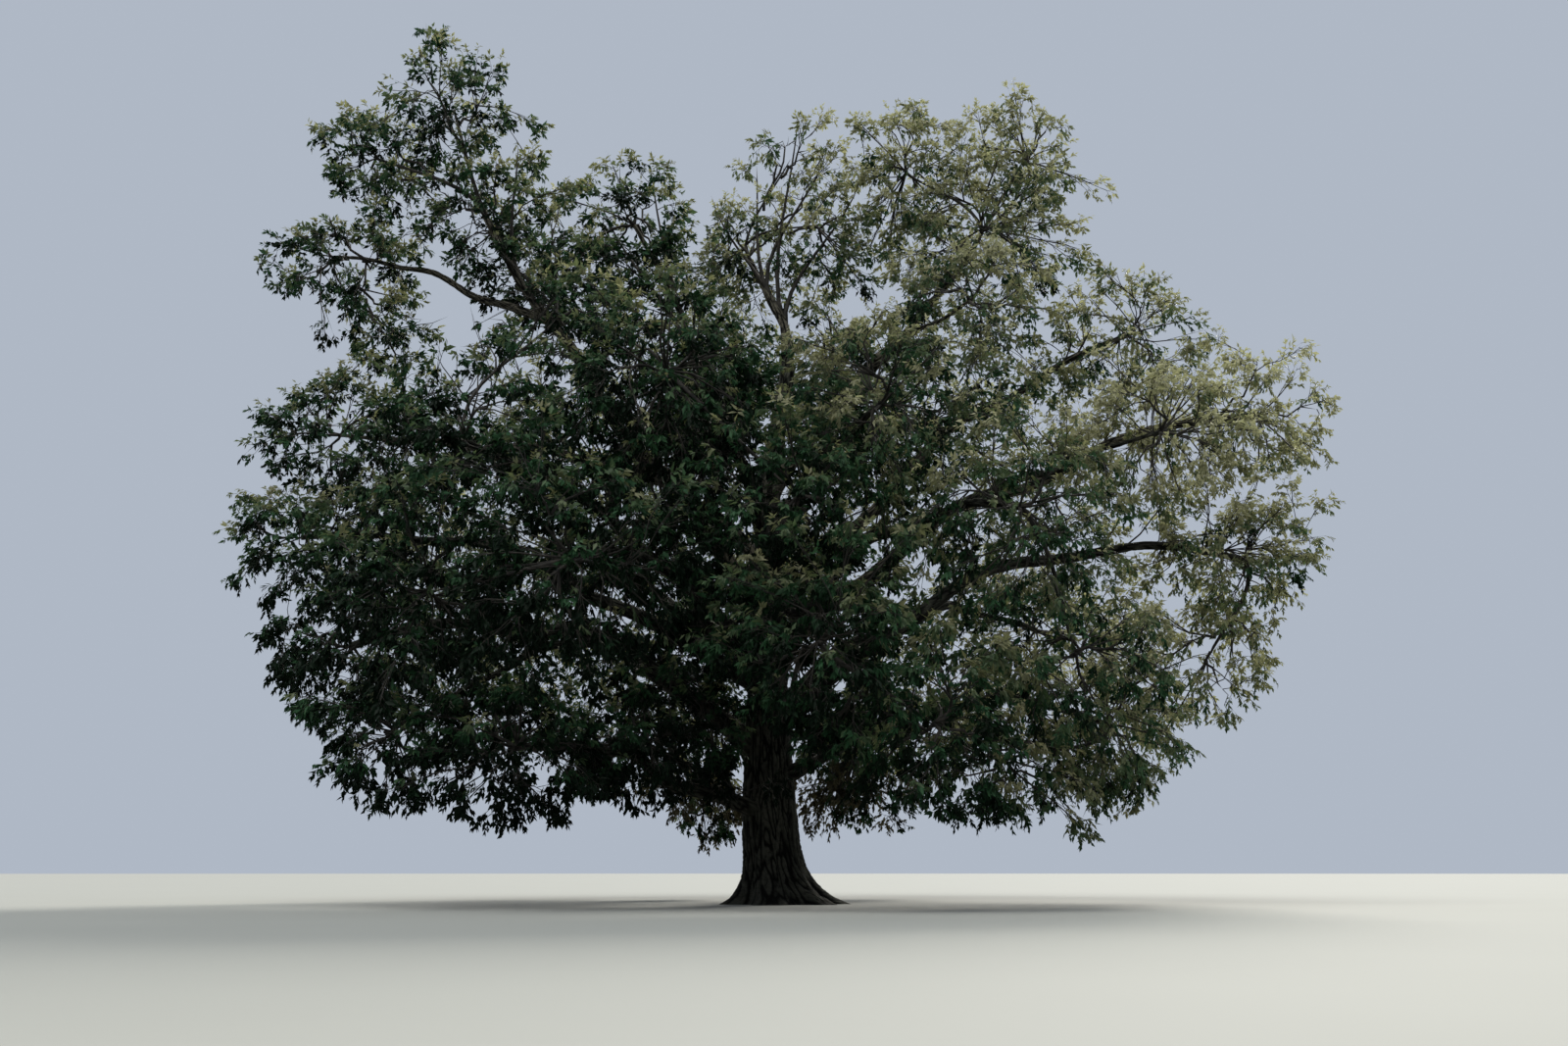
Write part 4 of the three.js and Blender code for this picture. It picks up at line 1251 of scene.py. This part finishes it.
def twig_material(settings):
    """Smooth grey-brown bark of young wood."""
    stops = ((0.3, settings.furrow_colour), (0.75, settings.twig_colour))
    return mottled_material("twig_bark", 5.0, 4.0, stops, Roughness=0.82, Specular_IOR_Level=0.3)


def floor_material(settings):
    """A plain pale floor with a faint unevenness in its tone."""
    stops = ((0.0, [part * 0.94 for part in settings.floor_colour]), (1.0, settings.floor_colour))
    return mottled_material("pale_floor", 0.2, 3.0, stops, Roughness=0.9)


def kind_tones(kind, settings):
    """The darkest, middle and lightest tone of a kind of leaf, halfway to the kinds beside it, so that the
    painted sun and shade go smoothly from kind to kind.
    """
    own = np.array(getattr(settings, kind))
    place = KINDS.index(kind)
    if kind == "bronze":
        return own * BRONZE_TONES[0], own, own * BRONZE_TONES[1]
    darker = own * DARKEST if place == 0 else np.array(getattr(settings, KINDS[place - 1]))
    lighter = own * LIGHTEST if kind == "pale" else np.array(getattr(settings, KINDS[place + 1]))
    return (own + darker) / 2, own, (own + lighter) / 2


def leaf_material(kind, glow, shine, settings):
    """A leaf that lets some light through, with a paler rib and a tone that paints in its shoot's sun and
    shade, give or take a little for each leaf.
    """
    shading = Shading(f"leaf_{kind}")
    add = shading.add
    tone = add("Attribute", "Fac", attribute_name="tone")
    edge = add("Attribute", "Fac", attribute_name="edge")
    colour = shading.ramp(tone, *zip((0.0, 0.5, 1.0), kind_tones(kind, settings), strict=True))
    rib = add("MapRange", "Result", Value=edge, From_Max=0.35, To_Min=1.35, To_Max=1.0)
    blade = add("VectorMath", "Vector", colour, operation="SCALE", Scale=rib)
    surface = shading.surface
    shading.feed(surface, Base_Color=blade, Roughness=settings.roughness, Specular_IOR_Level=shine)
    through = add("BsdfTranslucent", "BSDF", Color=shading.multiply(1, blade, (*settings.glow_tint, 1)))
    mix = add("MixShader", "Shader", glow, surface.outputs["BSDF"], through)
    shading.feed(shading.tree.nodes["Material Output"], Surface=mix)
    return shading.material


# Settings.


def length_setting(name, description, default):
    return bpy.props.FloatProperty(
        name=name, description=description, default=default, min=0, unit="LENGTH", precision=3
    )


def colour_setting(name, description, default):
    return bpy.props.FloatVectorProperty(
        name=name, description=description, default=default, subtype="COLOR", size=3, min=0, max=1
    )


def share_setting(name, description, default):
    return bpy.props.FloatProperty(
        name=name, description=description, default=default, min=0, max=2, subtype="FACTOR"
    )


def count_setting(name, description, default):
    return bpy.props.IntProperty(name=name, description=description, default=default, min=1)


class OAK_PG_bark(bpy.types.PropertyGroup):
    """The bark of the trunk and boughs."""

    trunk_sides: count_setting("Trunk Sides", "Faces round the trunk", 250)
    trunk_rings: count_setting("Trunk Rings", "Rows of faces up the trunk", 340)
    trunk_rings_crowd: bpy.props.FloatProperty(
        name="Rings Crowd", description="How much the rows crowd towards the foot", default=1.6, min=1
    )
    trunk_ridge: length_setting("Trunk Ridge", "Width of the trunk's ridges", 0.105)
    trunk_relief: length_setting("Trunk Relief", "Depth of the trunk's furrows", 0.065)
    bough_sides: count_setting("Bough Sides", "Faces round a bough", 32)
    bough_step: length_setting("Bough Step", "Length of a row of faces along a bough", 0.085)
    bough_ridge: share_setting("Bough Ridge", "Width of a bough's ridges as a share of its radius", 0.42)
    bough_relief: share_setting("Bough Relief", "Depth of a bough's furrows as a share of its radius", 0.13)
    bough_bark_scale: bpy.props.FloatProperty(
        name="Bough Bark Scale", description="How much finer the boughs' bark is", default=1.6, min=1
    )
    furrow_colour: colour_setting("Furrows", "Colour in the furrows", (0.0025, 0.0027, 0.0023))
    ridge_colour: colour_setting("Ridges", "Colour on the trunk's ridges", (0.046, 0.047, 0.040))
    # The upper boughs' ridges are paler than the trunk's: their bark's own colour, lightened as painted
    # sunlight on the boughs high in the crown.
    bough_colour: colour_setting("Bough Ridges", "Colour on the upper boughs", (0.105, 0.098, 0.080))
    high_bough: length_setting("High Bough", "Height of a mass whose bough has the paler bark", 12.5)
    twig_colour: colour_setting("Twigs", "Colour of the twigs", (0.042, 0.037, 0.030))


class OAK_PG_twigs(bpy.types.PropertyGroup):
    """How the masses of foliage grow."""

    seed: count_setting("Seed", "Another number grows other fine twigs", 7)
    clump_area: bpy.props.FloatProperty(
        name="Clump Area", description="Skin of a dense lobe for each clump", default=1.6, unit="AREA"
    )
    open_clump_area: bpy.props.FloatProperty(
        name="Open Clump Area", description="The same for an open lobe", default=1.75, unit="AREA"
    )
    clump_radius: length_setting("Clump Radius", "Reach of a clump of twigs", 0.4)
    clump_flatness: share_setting("Clump Flatness", "Height of a clump as a share of its width", 0.75)
    branchlets: count_setting("Branchlets", "Twigs in each clump", 5)
    shoots: count_setting("Shoots", "Leafy shoots on each twig", 3)
    shoot_length: length_setting("Shoot Length", "Length of a leafy shoot", 0.3)
    tip_reach: share_setting("Tip Reach", "How far the shoots may reach past a lobe's skin", 1.03)
    between_reach: share_setting("Between Reach", "The same where two masses meet", 1.36)
    sun_leaf: share_setting("Sun Leaf", "Length of a leaf in the sun, as a share of the others", 0.8)
    straightness: share_setting("Straightness", "How much a branch keeps its limb's direction", 0.8)
    low_droop: share_setting("Low Droop", "How far twigs hang at the crown's foot", 0.6)
    high_droop: share_setting("High Droop", "How far twigs hang at the crown's top", 0.15)


class OAK_PG_leaves(bpy.types.PropertyGroup):
    """The leaves and their colours."""

    per_shoot: count_setting("Leaves per Shoot", "Leaves on each shoot", 9)
    length: length_setting("Length", "Length of a leaf at the crown's skin", 0.152)
    slimness: share_setting("Slimness", "Width of a leaf as a share of its length", 0.43)
    roughness: share_setting("Roughness", "Roughness of a leaf's surface", 0.55)
    shade_glow: share_setting("Shade Glow", "Light that passes through a shade leaf", 0.18)
    sun_glow: share_setting("Sun Glow", "Light that passes through a sun leaf", 0.48)
    shade_shine: share_setting("Shade Shine", "Gloss of a shade leaf", 0.08)
    sun_shine: share_setting("Sun Shine", "Gloss of a sun leaf", 0.25)
    glow_tint: colour_setting("Glow Tint", "Tint of the light that passes through", (0.95, 1.0, 0.75))
    # Shade to pale are steps of painted sun and shade on the leaves' green, pale also painting the sun's
    # haze; bronze is the turned leaves' own colour.
    shade: colour_setting("Shade", "Leaves in deep shade", (0.003, 0.010, 0.004))
    deep_green: colour_setting("Deep Green", "Leaves in shade", (0.018, 0.052, 0.022))
    leaf_green: colour_setting("Leaf Green", "Leaves in open shade", (0.079, 0.108, 0.056))
    olive: colour_setting("Olive", "Leaves in part sun", (0.150, 0.152, 0.084))
    sunlit: colour_setting("Sunlit", "Leaves in full sun", (0.208, 0.205, 0.118))
    pale: colour_setting("Pale", "Leaves in the haze of the sun", (0.285, 0.277, 0.180))
    bronze: colour_setting("Bronze", "The few turned leaves", (0.054, 0.047, 0.028))


class OAK_PG_stage(bpy.types.PropertyGroup):
    """The floor, the light and the camera."""

    floor_colour: colour_setting("Floor", "Colour of the floor", (0.25, 0.255, 0.235))
    sky_colour: colour_setting("Sky", "Colour of the background", (0.43, 0.48, 0.56))
    camera_distance: length_setting("Camera Distance", "From the trunk to the camera", 40.0)
    camera_height: length_setting("Camera Height", "Height of the camera above the tree's foot", 0.79)
    camera_pitch: bpy.props.FloatProperty(
        name="Camera Pitch", description="How far the camera looks up", default=math.radians(12.9),
        subtype="ANGLE",
    )


# Operators.


class OAK_OT_trunk(bpy.types.Operator):
    """Make the trunk with its root flare and furrowed bark"""

    bl_idname = "oak.trunk"
    bl_label = "Trunk"

    def execute(self, context):
        s = context.scene.oak_bark
        mesh = bark_tube(
            "bark_trunk", trunk_place(s), s.trunk_rings, s.trunk_sides, s.trunk_ridge, s.trunk_relief
        )
        material = bark_material("old_bark", s, s.ridge_colour, 1.0)
        finish_piece("bark_trunk", mesh, material, ["trunk"])
        return {"FINISHED"}


class OAK_OT_boughs(bpy.types.Operator):
    """Make the boughs, each from inside its parent to the middle of its mass"""

    bl_idname = "oak.boughs"
    bl_label = "Boughs"

    def execute(self, context):
        s = context.scene.oak_bark
        lines, _ = grow_limbs()
        low = bark_material("low_bough_bark", s, s.ridge_colour, s.bough_bark_scale)
        high = bark_material("high_bough_bark", s, s.bough_colour, s.bough_bark_scale)
        for mass in MASSES:
            line = lines[mass.name]
            rings = math.ceil(line.reach / s.bough_step)
            name = f"bark_bough_{mass.name}"
            ridge, depth = mass.radius * s.bough_ridge, mass.radius * s.bough_relief
            mesh = bark_tube(name, limb_place(line), rings, s.bough_sides, ridge, depth)
            # Boughs of high masses get the paler bark, partly painted sunlight on them.
            material = high if mass.lobes[0].middle[2] > s.high_bough else low
            finish_piece(name, mesh, material, [f"bough_{mass.name}"])
        return {"FINISHED"}


class OAK_OT_twigs(bpy.types.Operator):
    """Make the stems, branches and twigs inside the masses of foliage"""

    bl_idname = "oak.twigs"
    bl_label = "Twigs"

    def execute(self, context):
        growth = grown(context.scene.oak_twigs)
        material = twig_material(context.scene.oak_bark)
        shoots = np.stack([growth.shoot_root, growth.shoot_tip], 1)
        shoot_radii = np.tile(SHOOT_RADII, (len(shoots), 1))
        for name, rows, radii, sides in (
            ("stems_thick", *self.with_steps(growth.stems, STEM_STEPS), STEM_SIDES),
            ("stems_thin", *self.with_steps(growth.stems, TWIG_STEPS), TWIG_SIDES),
            ("branches", growth.branches, growth.branch_radii, BRANCH_SIDES),
            ("branchlets", growth.branchlets, growth.branchlet_radii, BRANCHLET_SIDES),
            ("shoots", shoots, shoot_radii, SHOOT_SIDES),
        ):
            self.make(name, rows, radii, sides, material)
        return {"FINISHED"}

    @staticmethod
    def with_steps(stems, steps):
        """The points and radii of the stems that have so many steps."""
        return columns(stem for stem in stems if len(stem[0]) == steps + 1)

    @staticmethod
    def make(name, rows, radii, sides, material):
        """The pieces of one kind of twig."""
        walls = (rows.shape[1] - 2) * sides * 2
        tip_and_root = sides + sides - 2
        names = part_names(f"twigs_{name}", len(rows) * (walls + tip_and_root))
        shares = (np.array_split(values, len(names)) for values in (rows, radii))
        for piece_name, part, part_radii in zip(names, *shares, strict=True):
            mesh = joined_mesh(piece_name, *tube_arrays(part, part_radii, sides))
            mesh.shade_smooth()
            finish_piece(piece_name, mesh, material, [])


def leaves_on(growth, shoots, s, rng):
    """The leaves of some shoots: the shoot that each one is on, its foot, direction, face, length and
    width."""
    each = s.per_shoot
    shoot = np.repeat(shoots, each)
    uneven = np.tile(np.arange(each), len(shoots)) + rng.uniform(0, LEAF_STRAY, len(shoot))
    share = FIRST_LEAF + (1 - FIRST_LEAF) * uneven / each
    start = growth.shoot_root[shoot]
    root = start + (growth.shoot_tip[shoot] - start) * lift(share)
    place = growth.in_clump(root, growth.shoot_clump[shoot])
    outward = np.linalg.norm(place, axis=1)
    kept = rng.uniform(size=len(shoot)) < np.interp(outward, INNER_PLACES, (INNER_SHARE, 1))
    shoot, share, root, place, outward = (values[kept] for values in (shoot, share, root, place, outward))
    count = len(shoot)
    way = growth.shoot_way[shoot]
    angle = np.radians(LEAF_ANGLE - LEAF_ANGLE_FALL * share + rng.normal(0, LEAF_ANGLE_SPREAD, count))
    side = sideways(way, rng)
    drop = growth.droop[growth.shoot_clump[shoot]] * rng.uniform(*DROOP_SPREAD, count) + LEAF_DROOP
    heading = unit(way * lift(np.cos(angle)) + side * lift(np.sin(angle)) - lift(drop) * UP)
    face = unit(UP * FACE_UP + unit(place) * FACE_OUTWARD + rng.normal(0, FACE_SPREAD, (count, 3)))
    larger = np.interp(outward, INNER_PLACES, (INNER_LEAF, 1)) * growth.shoot_fine[shoot]
    length = s.length * larger * rng.uniform(*LENGTH_SPREAD, count)
    width = length * s.slimness * rng.uniform(*WIDTH_SPREAD, count)
    return shoot, root, heading, face, length, width


class OAK_OT_leaves(bpy.types.Operator):
    """Make the leaves, joined by colour"""

    bl_idname = "oak.leaves"
    bl_label = "Leaves"

    def execute(self, context):
        s = context.scene.oak_leaves
        growth = grown(context.scene.oak_twigs)
        rng = np.random.default_rng(growth.settings.seed + 1)
        for index, kind in enumerate(KINDS):
            shoots = np.flatnonzero(growth.shoot_kind == index)
            if not len(shoots):
                raise RuntimeError(f"no shoot has leaves of the kind {kind}")
            shaded = kind in SHADED_KINDS
            glow = s.shade_glow if shaded else s.sun_glow
            shine = s.shade_shine if shaded else s.sun_shine
            material = leaf_material(kind, glow, shine, s)
            names = part_names(f"leaves_{kind}", len(shoots) * s.per_shoot * len(LEAF_HALVES))
            for name, part in zip(names, np.array_split(shoots, len(names)), strict=True):
                self.make(name, growth, part, s, rng, material)
        return {"FINISHED"}

    @staticmethod
    def make(name, growth, shoots, s, rng, material):
        """One piece of leaves, which stands for the masses that its shoots are in."""
        shoot, *leaves = leaves_on(growth, shoots, s, rng)
        points, faces = leaf_arrays(*leaves)
        count = len(points)
        mesh = joined_mesh(name, points.reshape(-1, 3), [faces])
        # Each leaf's tone is its shoot's painted sun and shade, give or take a little at random.
        tones = np.clip(growth.shoot_painted_sun[shoot] + rng.normal(0, LEAF_TONES, count), 0, 1)
        add_values(mesh, "tone", np.repeat(tones, len(LEAF_CORNERS)))
        add_values(mesh, "edge", np.tile([abs(half) for _, half in LEAF_CORNERS], count))
        lay_out_leaves(mesh, count)
        owners = np.unique(growth.shoot_owner[shoots])
        finish_piece(name, mesh, material, [f"leaves_{MASSES[i].name}" for i in owners])


class OAK_OT_stage(bpy.types.Operator):
    """Set the floor, the soft light and the camera"""

    bl_idname = "oak.stage"
    bl_label = "Stage"

    def execute(self, context):
        s = context.scene.oak_stage
        self.floor(s)
        self.light(context.scene, s)
        self.camera(context.scene, s)
        return {"FINISHED"}

    @staticmethod
    def floor(s):
        bm = bmesh.new()
        bmesh.ops.create_circle(bm, segments=FLOOR_SIDES, radius=FLOOR_RADIUS, cap_ends=True)
        mesh = bpy.data.meshes.new("floor")
        bm.to_mesh(mesh)
        bm.free()
        mesh.materials.append(floor_material(s))
        floor = bpy.data.objects.new("floor", mesh)
        bpy.context.scene.collection.objects.link(floor)

    @staticmethod
    def light(scene, s):
        world = bpy.data.worlds.new("studio")
        world.use_nodes = True
        world.node_tree.nodes["Background"].inputs["Color"].default_value = (*s.sky_colour, 1)
        scene.world = world
        for name, energy, colour, spread_angle, tilt in LAMPS:
            lamp = bpy.data.lights.new(name, "SUN")
            lamp.energy = energy
            lamp.color = colour
            lamp.angle = math.radians(spread_angle)
            light = bpy.data.objects.new(name, lamp)
            light.rotation_euler = [math.radians(angle) for angle in tilt]
            scene.collection.objects.link(light)

    @staticmethod
    def camera(scene, s):
        data = bpy.data.cameras.new("camera")
        data.lens = LENS
        data.sensor_width = SENSOR_WIDTH
        data.clip_end = FARTHEST_SEEN
        camera = bpy.data.objects.new("camera", data)
        camera.location = (0, -s.camera_distance, s.camera_height)
        camera.rotation_euler = (math.pi / 2 + s.camera_pitch, 0, 0)
        scene.collection.objects.link(camera)
        scene.camera = camera
        scene.view_settings.view_transform = "Standard"


class OAK_PT_panel(bpy.types.Panel):
    """The oak's pieces and settings in the 3D view's sidebar."""

    bl_label = "Oak"
    bl_idname = "OAK_PT_panel"
    bl_space_type = "VIEW_3D"
    bl_region_type = "UI"
    bl_category = "Oak"

    def draw(self, context):
        for settings, operators in PANEL_ROWS:
            group = getattr(context.scene, settings)
            box = self.layout.box()
            for operator in operators:
                box.operator(operator)
            for name in group.__annotations__:
                box.prop(group, name)


PANEL_ROWS = (
    ("oak_bark", ("oak.trunk", "oak.boughs")),
    ("oak_twigs", ("oak.twigs",)),
    ("oak_leaves", ("oak.leaves",)),
    ("oak_stage", ("oak.stage",)),
)
GROUPS = {
    "oak_bark": OAK_PG_bark,
    "oak_twigs": OAK_PG_twigs,
    "oak_leaves": OAK_PG_leaves,
    "oak_stage": OAK_PG_stage,
}
CLASSES = (
    *GROUPS.values(),
    OAK_OT_trunk,
    OAK_OT_boughs,
    OAK_OT_twigs,
    OAK_OT_leaves,
    OAK_OT_stage,
    OAK_PT_panel,
)


def register():
    for cls in CLASSES:
        bpy.utils.register_class(cls)
    for name, group in GROUPS.items():
        setattr(bpy.types.Scene, name, bpy.props.PointerProperty(type=group))


def unregister():
    for name in GROUPS:
        delattr(bpy.types.Scene, name)
    for cls in reversed(CLASSES):
        bpy.utils.unregister_class(cls)


def main():
    register()
    bpy.ops.oak.stage()
    bpy.ops.oak.trunk()
    bpy.ops.oak.boughs()
    bpy.ops.oak.twigs()
    bpy.ops.oak.leaves()


if __name__ == "__main__":
    main()
